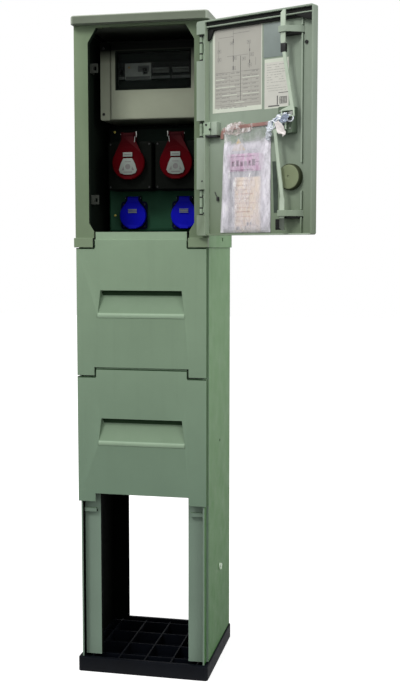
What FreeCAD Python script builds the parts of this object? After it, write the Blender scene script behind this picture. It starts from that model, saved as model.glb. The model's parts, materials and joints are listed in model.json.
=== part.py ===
"""A construction site distribution board: a cabinet with an open door on a tall cable pedestal."""
import FreeCAD, Part
import math
import os

import Sketcher

document = FreeCAD.newDocument("SiteDistributionBoard")

# Lengths in millimetres, angles in degrees. X runs to the viewer's right, Y to the back, Z up.
SIZES = {
    "pedestal_width": 335.0,
    "pedestal_depth": 320.0,
    "pedestal_wall": 5.0,
    "pedestal_top": 1118.5,
    "edge_rebate": 4.5,
    "edge_lip": 2.2,
    "wall_inset": 6.0,
    "wall_step": 29.5,
    "base_overhang": 4.0,
    "base_height": 38.0,
    "base_floor": 5.0,
    "base_rim": 11.5,
    "base_corner": 8.0,
    "base_rib": 4.0,
    "base_rib_top": 33.5,
    "rib_pitch_across": 70.0,
    "rib_pitch_deep": 82.0,
    "anchor_hole": 14.0,
    "anchor_across": 210.0,
    "anchor_deep": 164.0,
    "anchor_centre": 10.0,
    "flange_thickness": 4.0,
    "flange_inner": 116.0,
    "front_flange_back": 25.0,
    "flange_return": 12.0,
    "hook_level": 419.0,
    "hook_reach": 10.0,
    "hook_thickness": 4.0,
    "hook_height": 10.0,
    "hook_inner": 124.0,
    "hook_outer": 156.0,
    "panel_pitch": 325.0,
    "panel_step": 21.0,
    "panel_gap": 3.0,
    "panel_return": 3.5,
    "panel_skin": 4.0,
    "panel_depth": 24.0,
    "panel_lip": 3.0,
    "panel_lip_height": 19.0,
    "panel_lip_inset": 2.0,
    "tongue_half": 119.0,
    "grip_half": 105.0,
    "grip_spread": 7.0,
    "grip_low": 137.0,
    "grip_slope": 50.0,
    "grip_height": 58.0,
    "grip_depth": 16.0,
    "grip_wall": 3.0,
    "bead_reach": 2.5,
    "bead_height": 14.0,
    "housing_width": 343.0,
    "housing_wall": 5.0,
    "housing_front": 146.0,
    "housing_rear_step": 1.0,
    "housing_top": 1645.0,
    "ledge_height": 5.5,
    "ledge_reach": 6.5,
    "fit_gap": 0.5,
    "frame_thickness": 5.0,
    "frame_opening_half": 135.0,
    "frame_head": 7.0,
    "frame_corner_across": 22.0,
    "frame_corner_up": 36.0,
    "frame_return": 12.0,
    "foot_front": 164.0,
    "foot_web": 2.5,
    "roof_half": 174.5,
    "roof_front": 173.0,
    "roof_back": 168.0,
    "roof_height": 20.5,
    "roof_corner": 12.0,
    "roof_edge": 5.0,
    "door_half": 162.75,
    "door_bottom": 1126.0,
    "door_top_gap": 9.0,
    "door_channel": 13.5,
    "door_channel_wall": 3.0,
    "door_front": 175.0,
    "door_depth": 22.0,
    "door_skin": 4.0,
    "door_stile": 25.25,
    "door_angle": 155.0,
    "hinge_across": 156.5,
    "hinge_forward": 165.0,
    "knuckle_radius": 5.0,
    "pin_radius": 2.5,
    "pin_clearance": 0.05,
    "upper_hinge": 1574.0,
    "middle_hinge": 1381.0,
    "lower_hinge": 1206.0,
    "plate_back": 123.0,
    "plate_thickness": 3.0,
    "plate_half": 150.0,
    "plate_low": 1140.0,
    "plate_head": 15.0,
    "bracket_low": 1210.0,
    "bracket_high": 1548.0,
    "bracket_height": 24.0,
    "device_half": 142.0,
    "device_bottom": 1427.0,
    "device_height": 200.0,
    "device_wall": 3.0,
    "device_split": 5.0,
    "cover_depth": 35.0,
    "hood_half": 116.0,
    "hood_rise": 5.0,
    "window_half": 97.0,
    "window_rise": 79.0,
    "window_height": 93.0,
    "fascia_depth": 22.0,
    "rail_centre": 1552.0,
    "rail_face": 50.0,
    "module_width": 17.5,
    "breaker_height": 90.0,
    "breaker_nose": 44.0,
    "nose_front": 14.0,
    "shoulder_front": 2.0,
    "toggle_angle": 20.0,
    "tray_half": 141.0,
    "tray_front": 40.0,
    "tray_bottom": 1140.0,
    "tray_top": 1415.0,
    "red_across": 63.25,
    "red_centre": 1315.0,
    "red_box_half": 59.25,
    "red_box_bottom": 1246.5,
    "red_box_top": 1372.0,
    "red_box_front": 28.0,
    "red_lid_radius": 43.0,
    "red_hinge_rise": 74.0,
    "blue_across": 70.0,
    "blue_centre": 1182.0,
    "blue_lid_radius": 36.0,
    "blue_hinge_rise": 46.0,
    "lid_pin": 2.0,
    "lock_across": -93.0,
    "lock_centre": 1386.0,
    "cam_pin_across": 22.0,
    "cam_pin_up": 12.0,
    "rod_width": 12.0,
    "rod_neck": 8.0,
    "rod_thickness": 4.0,
    "rod_front": 145.0,
    "rod_top": 1629.5,
    "rod_bottom": 1136.0,
    "rod_line": -90.0,
    "guide_high": 1587.0,
    "guide_low": 1175.0,
    "running_gap": 0.4,
    "boss_across": -98.0,
    "boss_level": 1258.0,
    "boss_radius": 30.0,
    "boss_depth": 15.0,
    "bag_left": -41.0,
    "bag_right": 103.0,
    "bag_bottom": 1132.0,
    "bag_top": 1389.0,
    "bag_depth": 9.0,
    "label_thickness": 0.4,
    "sheet_left": -15.0,
    "sheet_right": 127.0,
    "sheet_low": 1418.0,
    "sheet_high": 1613.0,
    "small_sheet_left": -88.0,
    "small_sheet_right": -22.0,
    "small_sheet_low": 1417.0,
    "small_sheet_high": 1530.0,
}

sheet = document.addObject("Spreadsheet::Sheet", "Sizes")
for row, (word, value) in enumerate(SIZES.items(), start=1):
    sheet.set("A%d" % row, word)
    sheet.set("B%d" % row, str(value))
    sheet.setAlias("B%d" % row, word)
document.recompute()


class Size:
    """A number that remembers the sheet formula it comes from."""

    def __init__(self, number, formula=None):
        self.number = float(number)
        self.formula = formula or repr(float(number))

    def combine(self, other, sign, number):
        return Size(number, "(%s %s %s)" % (self.formula, sign, other.formula))

    def __add__(self, other):
        other = tied(other)
        return self.combine(other, "+", self.number + other.number)

    def __radd__(self, other):
        return tied(other) + self

    def __sub__(self, other):
        other = tied(other)
        return self.combine(other, "-", self.number - other.number)

    def __rsub__(self, other):
        return tied(other) - self

    def __mul__(self, other):
        other = tied(other)
        return self.combine(other, "*", self.number * other.number)

    def __rmul__(self, other):
        return tied(other) * self

    def __truediv__(self, other):
        other = tied(other)
        return self.combine(other, "/", self.number / other.number)

    def __neg__(self):
        return tied(0) - self


def tied(value):
    """A plain number as a size; a size as it is."""
    return value if isinstance(value, Size) else Size(value)


class Sheet:
    """Each named size as an attribute."""

    def __getattr__(self, word):
        return Size(sheet.get(word), "Sizes." + word)


mm = Sheet()
pieces = []
cuts = []

PLANES = {"top": "XY_Plane", "front": "XZ_Plane", "side": "YZ_Plane"}


class Round:
    """A circle in a sketch."""

    def __init__(self, across, up, radius):
        self.across = tied(across)
        self.up = tied(up)
        self.radius = tied(radius)


def block(left, right, low, high):
    """The four corners of an upright rectangle."""
    return [(left, low), (right, low), (right, high), (left, high)]


def draw(body, view, level, shapes):
    """A sketch on one of the body's own planes, moved out to a level, every point tied to a size."""
    role = PLANES[view]
    plane = [item for item in body.Origin.OriginFeatures if item.Role == role][0]
    sketch = body.newObject("Sketcher::SketchObject", body.Label + "_outline")
    sketch.AttachmentSupport = [(plane, "")]
    sketch.MapMode = "FlatFace"
    level = tied(level)
    shift = -level if view == "front" else level
    sketch.AttachmentOffset = FreeCAD.Placement(FreeCAD.Vector(0, 0, shift.number), FreeCAD.Rotation())
    sketch.setExpression("AttachmentOffset.Base.z", shift.formula)
    lengths = []
    for shape in shapes:
        if isinstance(shape, Round):
            centre = FreeCAD.Vector(shape.across.number, shape.up.number, 0)
            curve = sketch.addGeometry(Part.Circle(centre, FreeCAD.Vector(0, 0, 1), shape.radius.number))
            lengths.append(("DistanceX", curve, 3, shape.across))
            lengths.append(("DistanceY", curve, 3, shape.up))
            lengths.append(("Radius", curve, None, shape.radius))
            continue
        corners = [(tied(across), tied(up)) for across, up in shape]
        points = [FreeCAD.Vector(across.number, up.number, 0) for across, up in corners]
        first = sketch.GeometryCount
        lines = [Part.LineSegment(points[i - 1], points[i]) for i in range(1, len(points))]
        lines.append(Part.LineSegment(points[-1], points[0]))
        sketch.addGeometry(lines)
        for i, (across, up) in enumerate(corners):
            following = first + (i + 1) % len(corners)
            sketch.addConstraint(Sketcher.Constraint("Coincident", first + i, 2, following, 1))
            lengths.append(("DistanceX", first + i, 1, across))
            lengths.append(("DistanceY", first + i, 1, up))
    for kind, curve, point, length in lengths:
        if kind == "Radius":
            index = sketch.addConstraint(Sketcher.Constraint(kind, curve, length.number))
        else:
            index = sketch.addConstraint(Sketcher.Constraint(kind, curve, point, length.number))
        if "Sizes" in length.formula:
            sketch.setExpression("Constraints[%d]" % index, length.formula)
    return sketch


def pad(body, view, start, end, *shapes):
    """Add material between two levels along the view's own axis."""
    feature = body.newObject("PartDesign::Pad", body.Label + "_pad")
    feature.Profile = draw(body, view, start, shapes)
    feature.setExpression("Length", (tied(end) - tied(start)).formula)
    feature.Reversed = view == "front"
    body.Tip = feature
    return feature


def cut(body, view, start, end, *shapes):
    """Remove material between two levels along the view's own axis."""
    level = start if view == "front" else end
    feature = body.newObject("PartDesign::Pocket", body.Label + "_cut")
    feature.Profile = draw(body, view, level, shapes)
    feature.setExpression("Length", (tied(end) - tied(start)).formula)
    body.Tip = feature
    cuts.append(feature)
    return feature


def dress(body, kind, amount, wanted):
    """Round or bevel the edges of the body so far that the test picks."""
    document.recompute()
    base = body.Tip
    names = ["Edge%d" % number for number, edge in enumerate(base.Shape.Edges, start=1) if wanted(edge)]
    feature = body.newObject("PartDesign::" + kind, body.Label + "_" + kind.lower())
    feature.Base = (base, names)
    amount = tied(amount)
    length = "Radius" if kind == "Fillet" else "Size"
    setattr(feature, length, amount.number)
    if "Sizes" in amount.formula:
        feature.setExpression(length, amount.formula)
    body.Tip = feature
    return feature


def trapezoid(low_half, high_half, low, high):
    """A symmetric four-sided outline, wider or narrower at the top."""
    return [(-tied(low_half), low), (low_half, low), (high_half, high), (-tied(high_half), high)]


def loft(body, kind, view, first, second):
    """Join two outlines at two depths into one tapered form, added or cut away."""
    sketches = [draw(body, view, level, [outline]) for level, outline in (first, second)]
    feature = body.newObject("PartDesign::%sLoft" % kind, body.Label + "_taper")
    feature.Profile = sketches[0]
    feature.Sections = [sketches[1]]
    feature.Ruled = True
    body.Tip = feature
    document.recompute()
    if kind == "Subtractive":
        cuts.append(feature)
    return feature


def new_piece(label):
    """An empty body that becomes one sub-part."""
    body = document.addObject("PartDesign::Body", label)
    body.Label = label
    pieces.append(body)
    return body


def hang_on_door(body):
    """Place a piece that is drawn about the hinge line as it stands on the open door."""
    body.Placement = FreeCAD.Placement(FreeCAD.Vector(0, 0, 0), FreeCAD.Rotation(FreeCAD.Vector(0, 0, 1), 1))
    body.setExpression("Placement.Base.x", "Sizes.hinge_across")
    body.setExpression("Placement.Base.y", "-Sizes.hinge_forward")
    body.setExpression("Placement.Rotation.Angle", "Sizes.door_angle")
    return body


def door_x(across):
    """A place on the closed door, measured from the hinge line."""
    return tied(across) - mm.hinge_across


def door_y(deep):
    return tied(deep) + mm.hinge_forward


def is_upright(edge):
    box = edge.BoundBox
    return box.XLength < 0.01 and box.YLength < 0.01 and box.ZLength > 1


def at_height(edge, level):
    box = edge.BoundBox
    return box.ZLength < 0.01 and abs(box.ZMin - level) < 0.01


def at_depth(edge, level):
    box = edge.BoundBox
    return box.YLength < 0.01 and abs(box.YMin - level) < 0.01


half_width = mm.pedestal_width / 2
half_depth = mm.pedestal_depth / 2
wall_inside = half_width - mm.pedestal_wall
housing_half = mm.housing_width / 2
housing_inside = housing_half - mm.housing_wall

# Ballast base plate: a ribbed tray with four anchor holes.
base = new_piece("base_plate")
base_half = half_width + mm.base_overhang
base_deep = half_depth + mm.base_overhang
pad(base, "top", 0, mm.base_height, block(-base_half, base_half, -base_deep, base_deep))
dress(base, "Fillet", mm.base_corner, is_upright)
dress(base, "Chamfer", 2, lambda edge: at_height(edge, mm.base_height.number))
tray_across = base_half - mm.base_rim
tray_deep = base_deep - mm.base_rim
cut(base, "top", mm.base_floor, mm.base_height, block(-tray_across, tray_across, -tray_deep, tray_deep))
ribs = []
for step in (-1.5, -0.5, 0.5, 1.5):
    middle = mm.anchor_centre + mm.rib_pitch_deep * step
    ribs.append(block(-tray_across, tray_across, middle - mm.base_rib / 2, middle + mm.base_rib / 2))
pad(base, "top", mm.base_floor, mm.base_rib_top, *ribs)
ribs = []
for step in (-2, -1, 0, 1, 2):
    middle = mm.rib_pitch_across * step
    ribs.append(block(middle - mm.base_rib / 2, middle + mm.base_rib / 2, -tray_deep, tray_deep))
pad(base, "top", mm.base_floor, mm.base_rib_top, *ribs)
anchors = []
for side in (-1, 1):
    for way in (-1, 1):
        deep = mm.anchor_centre + mm.anchor_deep / 2 * way
        anchors.append(Round(mm.anchor_across / 2 * side, deep, mm.anchor_hole / 2))
cut(base, "top", 0, mm.base_floor, *anchors)

# Pedestal side walls: folded profiles with flanges that carry the hooks for the front panels.
flange_front = mm.front_flange_back - half_depth
rear_flange = -flange_front
for label, side in (("left_side_wall", -1), ("right_side_wall", 1)):
    wall = new_piece(label)
    lip = half_width - mm.edge_lip
    thick = mm.flange_thickness
    inner = mm.flange_inner
    rebate = half_depth - mm.edge_rebate
    folded = half_width - mm.wall_inset
    step = mm.wall_step - half_depth
    profile = [
        (folded, -rebate),
        (folded, step),
        (half_width, step),
        (half_width, half_depth),
        (lip, half_depth),
        (lip, rebate),
        (wall_inside, rebate),
        (wall_inside, rear_flange),
        (inner + 1, rear_flange),
        (inner + 1, rear_flange - thick),
        (wall_inside, rear_flange - thick),
        (wall_inside, step + thick),
        (folded - thick, step + thick),
        (folded - thick, flange_front + thick),
        (inner + thick, flange_front + thick),
        (inner + thick, flange_front + thick + mm.flange_return),
        (inner, flange_front + thick + mm.flange_return),
        (inner, flange_front),
        (folded - thick, flange_front),
        (folded - thick, -rebate),
    ]
    profile = [(across * side, deep) for across, deep in profile]
    pad(wall, "top", mm.base_height, mm.pedestal_top, profile)
    hooks = []
    tip = flange_front - mm.hook_reach
    for storey in range(3):
        low = mm.hook_level + mm.panel_pitch * storey
        hooks.append([
            (flange_front, low),
            (tip, low),
            (tip, low + mm.hook_height),
            (tip + mm.hook_thickness, low + mm.hook_height),
            (tip + mm.hook_thickness, low + mm.hook_thickness),
            (flange_front, low + mm.hook_thickness),
        ])
    near, far = (mm.hook_inner, mm.hook_outer) if side > 0 else (-mm.hook_outer, -mm.hook_inner)
    pad(wall, "side", near, far, *hooks)
    outer = (half_width - 3, half_width) if side > 0 else (-half_width, 3 - half_width)
    cut(wall, "side", outer[0], outer[1], Round(18, 588, 4), Round(17, 246, 4))

# Rear panel of the pedestal, with returned sides seated on the rear flanges.
rear = new_piece("rear_panel")
skin_in = half_depth - mm.panel_skin
edge = half_width - mm.edge_lip - mm.fit_gap
turn = wall_inside - mm.fit_gap
panel_low = mm.pedestal_top - mm.panel_pitch * 2 - mm.panel_step
pad(rear, "top", panel_low, mm.pedestal_top, [
    (-edge, half_depth),
    (edge, half_depth),
    (edge, skin_in),
    (turn, skin_in),
    (turn, rear_flange),
    (turn - 4, rear_flange),
    (turn - 4, skin_in),
    (4 - turn, skin_in),
    (4 - turn, rear_flange),
    (-turn, rear_flange),
    (-turn, skin_in),
    (-edge, skin_in),
])
for low in (panel_low, mm.pedestal_top - 4):
    pad(rear, "top", low, low + 4, block(4 - turn, turn - 4, rear_flange, skin_in))

# Cable clamping rail across the pedestal.
rail = new_piece("cable_rail")
rail_back = rear_flange - mm.flange_thickness
rail_front = rail_back - 15
pad(rail, "side", 2 - wall_inside, wall_inside - 2, [
    (rail_back, 540),
    (rail_back, 570),
    (rail_front, 570),
    (rail_front, 562),
    (rail_front + 2.5, 562),
    (rail_front + 2.5, 567.5),
    (rail_back - 2.5, 567.5),
    (rail_back - 2.5, 542.5),
    (rail_front + 2.5, 542.5),
    (rail_front + 2.5, 548),
    (rail_front, 548),
    (rail_front, 540),
])

# Front panels: moulded skins with a tongue, a grip, a locating lip and hooks behind.
panel_front = -half_depth
panel_back = mm.panel_skin - half_depth
panel_rear = mm.panel_depth - half_depth
half_gap = mm.panel_gap / 2
for label, storey in (("front_panel_lower", 1), ("front_panel_upper", 2)):
    panel = new_piece(label)
    top = mm.pedestal_top - mm.panel_pitch * (2 - storey) - half_gap
    low = top - mm.panel_pitch + mm.panel_gap
    shoulder = top - mm.panel_step
    leg = low - mm.panel_step
    tongue = mm.tongue_half
    mouth = mm.tongue_half + mm.panel_gap
    pad(panel, "front", panel_front, panel_back, [
        (-half_width, leg),
        (-mouth, leg),
        (-mouth, low),
        (mouth, low),
        (mouth, leg),
        (half_width, leg),
        (half_width, shoulder),
        (tongue, shoulder),
        (tongue, top),
        (-tongue, top),
        (-tongue, shoulder),
        (-half_width, shoulder),
    ])
    for side in (-1, 1):
        near = half_width * side
        far = (half_width - mm.panel_return) * side
        left, right = (far, near) if side > 0 else (near, far)
        pad(panel, "front", panel_back, panel_rear, block(left, right, leg, shoulder))
    dress(panel, "Fillet", 1.5, lambda edge: at_depth(edge, panel_front.number))
    grip_low = low + mm.grip_low
    grip_top = grip_low + mm.grip_height
    grip = mm.grip_half
    wide = grip + mm.grip_spread
    shell = mm.grip_wall
    grip_back = panel_front + mm.grip_depth
    loft(panel, "Additive", "front",
         (panel_back, trapezoid(wide + shell, grip + shell, grip_low + 5, grip_top + shell)),
         (grip_back + shell, trapezoid(grip + shell, grip + shell - 2, grip_low + mm.grip_slope - shell,
                                       grip_top + shell)))
    loft(panel, "Subtractive", "front",
         (panel_front, trapezoid(wide, grip, grip_low, grip_top)),
         (grip_back, trapezoid(grip, grip - 2, grip_low + mm.grip_slope, grip_top)))
    bead = mm.bead_reach
    bead_low = grip_low - mm.bead_height + 2
    pad(panel, "side", -wide, wide, [
        (panel_front + 1, bead_low),
        (panel_front - bead * 0.5, bead_low + 1.5),
        (panel_front - bead, bead_low + 5),
        (panel_front - bead, bead_low + 9),
        (panel_front - bead * 0.4, bead_low + 12.5),
        (panel_front + 1, grip_low + 2),
        (panel_front + 3, grip_low + 2),
        (panel_front + 3, bead_low),
    ])
    lip_front = panel_back + mm.fit_gap
    lip_back = lip_front + mm.panel_lip
    lip_top = top + mm.panel_lip_height
    lip_half = tongue - mm.panel_lip_inset
    pad(panel, "side", -lip_half, lip_half, [
        (panel_back, top - 14),
        (lip_back, top - 14),
        (lip_back, lip_top),
        (lip_front, lip_top),
        (lip_front, top - 4),
        (panel_back, top - 6),
    ])
    ledge = mm.hook_level + mm.panel_pitch * storey
    finger_back = flange_front - mm.hook_reach + mm.hook_thickness + 5
    for side in (-1, 1):
        near, far = (mm.hook_inner + 4, mm.hook_outer - 4)
        left, right = (near, far) if side > 0 else (-far, -near)
        pad(panel, "side", left, right, [
            (panel_back, ledge + 13),
            (panel_back, ledge + 22),
            (finger_back, ledge + 19),
            (finger_back, ledge + 4.3),
            (finger_back - 3.6, ledge + 4.3),
            (finger_back - 3.6, ledge + 13),
        ])

# Cabinet side walls, stepped over the pedestal.
housing_back = half_depth - mm.housing_rear_step
for label, side in (("housing_left_wall", -1), ("housing_right_wall", 1)):
    wall = new_piece(label)
    skirt_in = half_width + mm.fit_gap
    ledge_in = housing_inside - mm.ledge_reach
    low = mm.pedestal_top - mm.panel_step
    profile = [
        (housing_inside, mm.housing_top),
        (housing_half, mm.housing_top),
        (housing_half, low),
        (skirt_in, low),
        (skirt_in, mm.pedestal_top),
        (ledge_in, mm.pedestal_top),
        (ledge_in, mm.pedestal_top + mm.ledge_height),
        (housing_inside, mm.pedestal_top + mm.ledge_height),
    ]
    pad(wall, "front", -mm.housing_front, housing_back, [(across * side, up) for across, up in profile])
    outer = (housing_half - 2, housing_half) if side > 0 else (-housing_half, 2 - housing_half)
    cut(wall, "side", outer[0], outer[1], block(7, 37, mm.pedestal_top - 5, mm.pedestal_top + 4))

# Cabinet rear wall.
back = new_piece("housing_rear_wall")
rear_outside = housing_back + mm.housing_wall
pad(back, "side", -housing_half, housing_half, [
    (housing_back, mm.housing_top),
    (rear_outside, mm.housing_top),
    (rear_outside, mm.pedestal_top - mm.panel_step),
    (half_depth + mm.fit_gap, mm.pedestal_top - mm.panel_step),
    (half_depth + mm.fit_gap, mm.pedestal_top),
    (housing_back, mm.pedestal_top),
])
back_ledge = housing_inside - mm.ledge_reach - mm.fit_gap
pad(back, "top", mm.pedestal_top, mm.pedestal_top + mm.ledge_height,
    block(-back_ledge, back_ledge, housing_back - 9, housing_back))

# Door frame: a flanged portal whose feet step over the pedestal.
frame = new_piece("door_frame")
frame_front = -mm.housing_front - mm.frame_thickness
opening = mm.frame_opening_half
opening_top = mm.housing_top - mm.frame_head
corner_across = opening - mm.frame_corner_across
corner_up = opening_top - mm.frame_corner_up
mouth = mm.tongue_half + mm.panel_gap
foot_top = mm.pedestal_top + mm.foot_web
pad(frame, "front", frame_front, -mm.housing_front, [
    (-housing_half, mm.pedestal_top),
    (-housing_half, mm.housing_top),
    (housing_half, mm.housing_top),
    (housing_half, mm.pedestal_top),
    (mouth, mm.pedestal_top),
    (mouth, foot_top + 16),
    (opening, foot_top + 37),
    (opening, corner_up),
    (corner_across, opening_top),
    (-corner_across, opening_top),
    (-opening, corner_up),
    (-opening, foot_top + 37),
    (-mouth, foot_top + 16),
    (-mouth, mm.pedestal_top),
])
return_out = opening + mm.flange_thickness
return_top = opening_top + mm.flange_thickness
corner_out = corner_across + mm.flange_thickness * 0.6
pad(frame, "front", -mm.housing_front, mm.frame_return - mm.housing_front, [
    (-opening, foot_top + 37),
    (-opening, corner_up),
    (-corner_across, opening_top),
    (corner_across, opening_top),
    (opening, corner_up),
    (opening, foot_top + 37),
    (return_out, foot_top + 37),
    (return_out, corner_up + 1.5),
    (corner_out, return_top),
    (-corner_out, return_top),
    (-return_out, corner_up + 1.5),
    (-return_out, foot_top + 37),
])
skirt_low = mm.pedestal_top - mm.panel_step
skirt_back = -half_depth - mm.fit_gap
for side in (-1, 1):
    left, right = (mouth, housing_half) if side > 0 else (-housing_half, -mouth)
    pad(frame, "side", left, right, [
        (-mm.foot_front, skirt_low),
        (-mm.foot_front, foot_top),
        (frame_front, foot_top),
        (frame_front, mm.pedestal_top),
        (skirt_back, mm.pedestal_top),
        (skirt_back, skirt_low),
    ])
    near, far = (half_width + mm.fit_gap, housing_half)
    left, right = (near, far) if side > 0 else (-far, -near)
    pad(frame, "top", skirt_low, mm.pedestal_top, block(left, right, skirt_back, -mm.housing_front))
rod_left = mm.rod_line - mm.rod_width / 2 - 3
rod_right = mm.rod_line + mm.rod_width / 2 + 3
cut(frame, "front", -mm.housing_front, mm.frame_return - mm.housing_front,
    block(rod_left, rod_right, opening_top - 1, return_top))
arm_left = mm.hinge_across - 3.5
arm_right = mm.hinge_across + 3.5
HINGES = (
    (mm.upper_hinge, 18.0, 22.0),
    (mm.middle_hinge, 11.0, 14.0),
    (mm.lower_hinge, 18.0, 22.0),
)
slots = []
for middle, ear, knuckle in HINGES:
    slots.append(block(arm_left - 0.3, arm_right + 0.3, middle - knuckle / 2 - 0.3, middle + knuckle / 2 + 0.3))
cut(frame, "front", frame_front, -mm.housing_front, *slots)

# Roof cap with rounded corners and a hollow underside.
roof = new_piece("roof_cap")
roof_top = mm.housing_top + mm.roof_height
pad(roof, "top", mm.housing_top, roof_top, block(-mm.roof_half, mm.roof_half, -mm.roof_front, mm.roof_back))
dress(roof, "Fillet", mm.roof_corner, is_upright)
dress(roof, "Fillet", mm.roof_edge, lambda edge: at_height(edge, roof_top.number))
cut(roof, "top", mm.housing_top, mm.housing_top + 12,
    block(mm.fit_gap - housing_inside, housing_inside - mm.fit_gap, 1 - mm.housing_front + 6, housing_back + 1))

# Floor between cabinet and pedestal, with three cable passages.
floor = new_piece("cable_floor")
floor_low = mm.pedestal_top + mm.ledge_height
pad(floor, "top", floor_low, floor_low + 4,
    block(1.5 - housing_inside, housing_inside - 1.5, 16 - mm.housing_front, housing_back - 0.5))
cut(floor, "top", floor_low, floor_low + 4, Round(-95, 75, 22), Round(0, 75, 22), Round(95, 75, 22))

# Mounting plate on four stand-offs.
plate = new_piece("mounting_plate")
plate_front = mm.plate_back - mm.plate_thickness
plate_high = mm.housing_top - mm.plate_head
pad(plate, "front", plate_front, mm.plate_back, block(-mm.plate_half, mm.plate_half, mm.plate_low, plate_high))
posts = [Round(130 * side, up, 6) for side in (-1, 1) for up in (mm.plate_low + 25, plate_high - 25)]
pad(plate, "front", mm.plate_back, housing_back, *posts)

# Short angle brackets on the cabinet side walls, each with a slot.
bracket_names = []
for side_name, side in (("left", -1), ("right", 1)):
    near = housing_inside
    profile = [
        (near, -36),
        (near, -6),
        (near - 3, -6),
        (near - 3, -33),
        (near - 21, -33),
        (near - 21, -36),
    ]
    profile = [(across * side, deep) for across, deep in profile]
    left, right = (near - 17, near - 8) if side > 0 else (8 - near, 17 - near)
    for level_name, low in (("low", mm.bracket_low), ("high", mm.bracket_high)):
        bracket = new_piece("%s_%s_bracket" % (side_name, level_name))
        bracket_names.append(bracket.Label)
        pad(bracket, "top", low, low + mm.bracket_height, profile)
        cut(bracket, "front", -36, -33, block(left, right, low + 7, low + 16))

# Modular device box: a tub with rail supports.
tub = new_piece("device_box")
device_top = mm.device_bottom + mm.device_height
wall = mm.device_wall
pad(tub, "front", mm.device_split, plate_front, block(-mm.device_half, mm.device_half, mm.device_bottom, device_top))
dress(tub, "Fillet", 5, lambda edge: edge.BoundBox.YLength > 1)
cut(tub, "front", mm.device_split, plate_front - wall,
    block(wall - mm.device_half, mm.device_half - wall, mm.device_bottom + wall, device_top - wall))
rail_rear = mm.rail_face + 7.5
for across in (-104, 104):
    pad(tub, "front", rail_rear, plate_front - wall + 0.5,
        block(across - 7, across + 7, mm.rail_centre - 8, mm.rail_centre + 8))

# Top-hat rail.
hat = new_piece("din_rail")
centre = mm.rail_centre
face = mm.rail_face
pad(hat, "side", -116, 116, [
    (face, centre - 17.5),
    (face + 1, centre - 17.5),
    (face + 1, centre - 13.5),
    (face + 7.5, centre - 13.5),
    (face + 7.5, centre + 13.5),
    (face + 1, centre + 13.5),
    (face + 1, centre + 17.5),
    (face, centre + 17.5),
    (face, centre + 12.5),
    (face + 6.5, centre + 12.5),
    (face + 6.5, centre - 12.5),
    (face, centre - 12.5),
])

# Device box cover: a raised hood with a recessed fascia behind the window.
cover = new_piece("device_cover")
cover_front = mm.device_split - mm.cover_depth
fascia_front = cover_front + mm.fascia_depth
pad(cover, "front", cover_front, mm.device_split,
    block(-mm.device_half, mm.device_half, mm.device_bottom, device_top))
dress(cover, "Fillet", 5, lambda edge: edge.BoundBox.YLength > 1 or at_depth(edge, cover_front.number))
hood = mm.hood_half
strip_front = cover_front + mm.hood_rise
cut(cover, "front", strip_front + wall, mm.device_split,
    block(wall - mm.device_half, mm.device_half - wall, mm.device_bottom + wall, device_top - wall))
cut(cover, "front", cover_front + wall, strip_front + wall,
    block(wall - hood, hood - wall, mm.device_bottom + wall, device_top - wall))
cut(cover, "top", mm.device_bottom, device_top,
    [(-mm.device_half, cover_front), (-hood + mm.hood_rise, cover_front), (-hood, strip_front),
     (-mm.device_half, strip_front)],
    [(mm.device_half, cover_front), (hood - mm.hood_rise, cover_front), (hood, strip_front),
     (mm.device_half, strip_front)])
window = mm.window_half
window_low = mm.device_bottom + mm.window_rise
window_high = window_low + mm.window_height
pad(cover, "front", cover_front + wall - 0.5, fascia_front + wall,
    block(-window - wall, window + wall, window_low - wall, window_high + wall))
cut(cover, "front", cover_front, fascia_front, block(-window, window, window_low, window_high))
dress(cover, "Chamfer", 3.5, lambda edge: at_depth(edge, cover_front.number)
      and abs(edge.BoundBox.Center.x) < window.number + 1
      and window_low.number - 1 < edge.BoundBox.Center.z < window_high.number + 1)
row_half = mm.module_width * 5.5
nose = mm.breaker_nose / 2
cut(cover, "front", fascia_front, fascia_front + wall,
    block(-row_half - 0.3, row_half + 0.3, mm.rail_centre - nose - 0.3, mm.rail_centre + nose + 0.3))
flap_axis_y = cover_front + 5
flap_axis_z = window_high - 2
cut(cover, "side", -window - 2.5, window + 2.5, Round(flap_axis_y, flap_axis_z, 1.05))

# Hinged window flap.
flap = new_piece("window_flap")
pad(flap, "front", flap_axis_y - 1.5, flap_axis_y + 1.5, block(0.8 - window, window - 0.8, window_low + 1, flap_axis_z))
pad(flap, "side", 0.8 - window, window - 0.8, Round(flap_axis_y, flap_axis_z, 1.5))
pad(flap, "side", -window - 2, window + 2, Round(flap_axis_y, flap_axis_z, 1.0))
pad(flap, "front", flap_axis_y - 4, flap_axis_y - 1, block(-14, 14, window_low + 3, window_low + 7))


def modular_device(label, first, count, levers):
    """A rail-mounted device, its nose through the fascia, with a lever slot."""
    device = new_piece(label)
    left = mm.module_width * (first - 5.5)
    right = left + mm.module_width * count
    rise = mm.breaker_height / 2
    pad(device, "side", left, right, [
        (-mm.shoulder_front, centre - rise),
        (mm.rail_face, centre - rise),
        (mm.rail_face, centre + rise),
        (-mm.shoulder_front, centre + rise),
        (-mm.shoulder_front, centre + nose),
        (-mm.nose_front, centre + nose - 1.5),
        (-mm.nose_front, centre - nose + 1.5),
        (-mm.shoulder_front, centre - nose),
    ])
    middle = left + mm.module_width * levers[0]
    half = levers[1] / 2
    cut(device, "front", -mm.nose_front, -2.5, block(middle - half, middle + half, centre - 8.5, centre + 8.5))
    cut(device, "side", middle - half - 1.5, middle + half + 1.5, Round(-8, centre, 1.25))
    return middle, half


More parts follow.
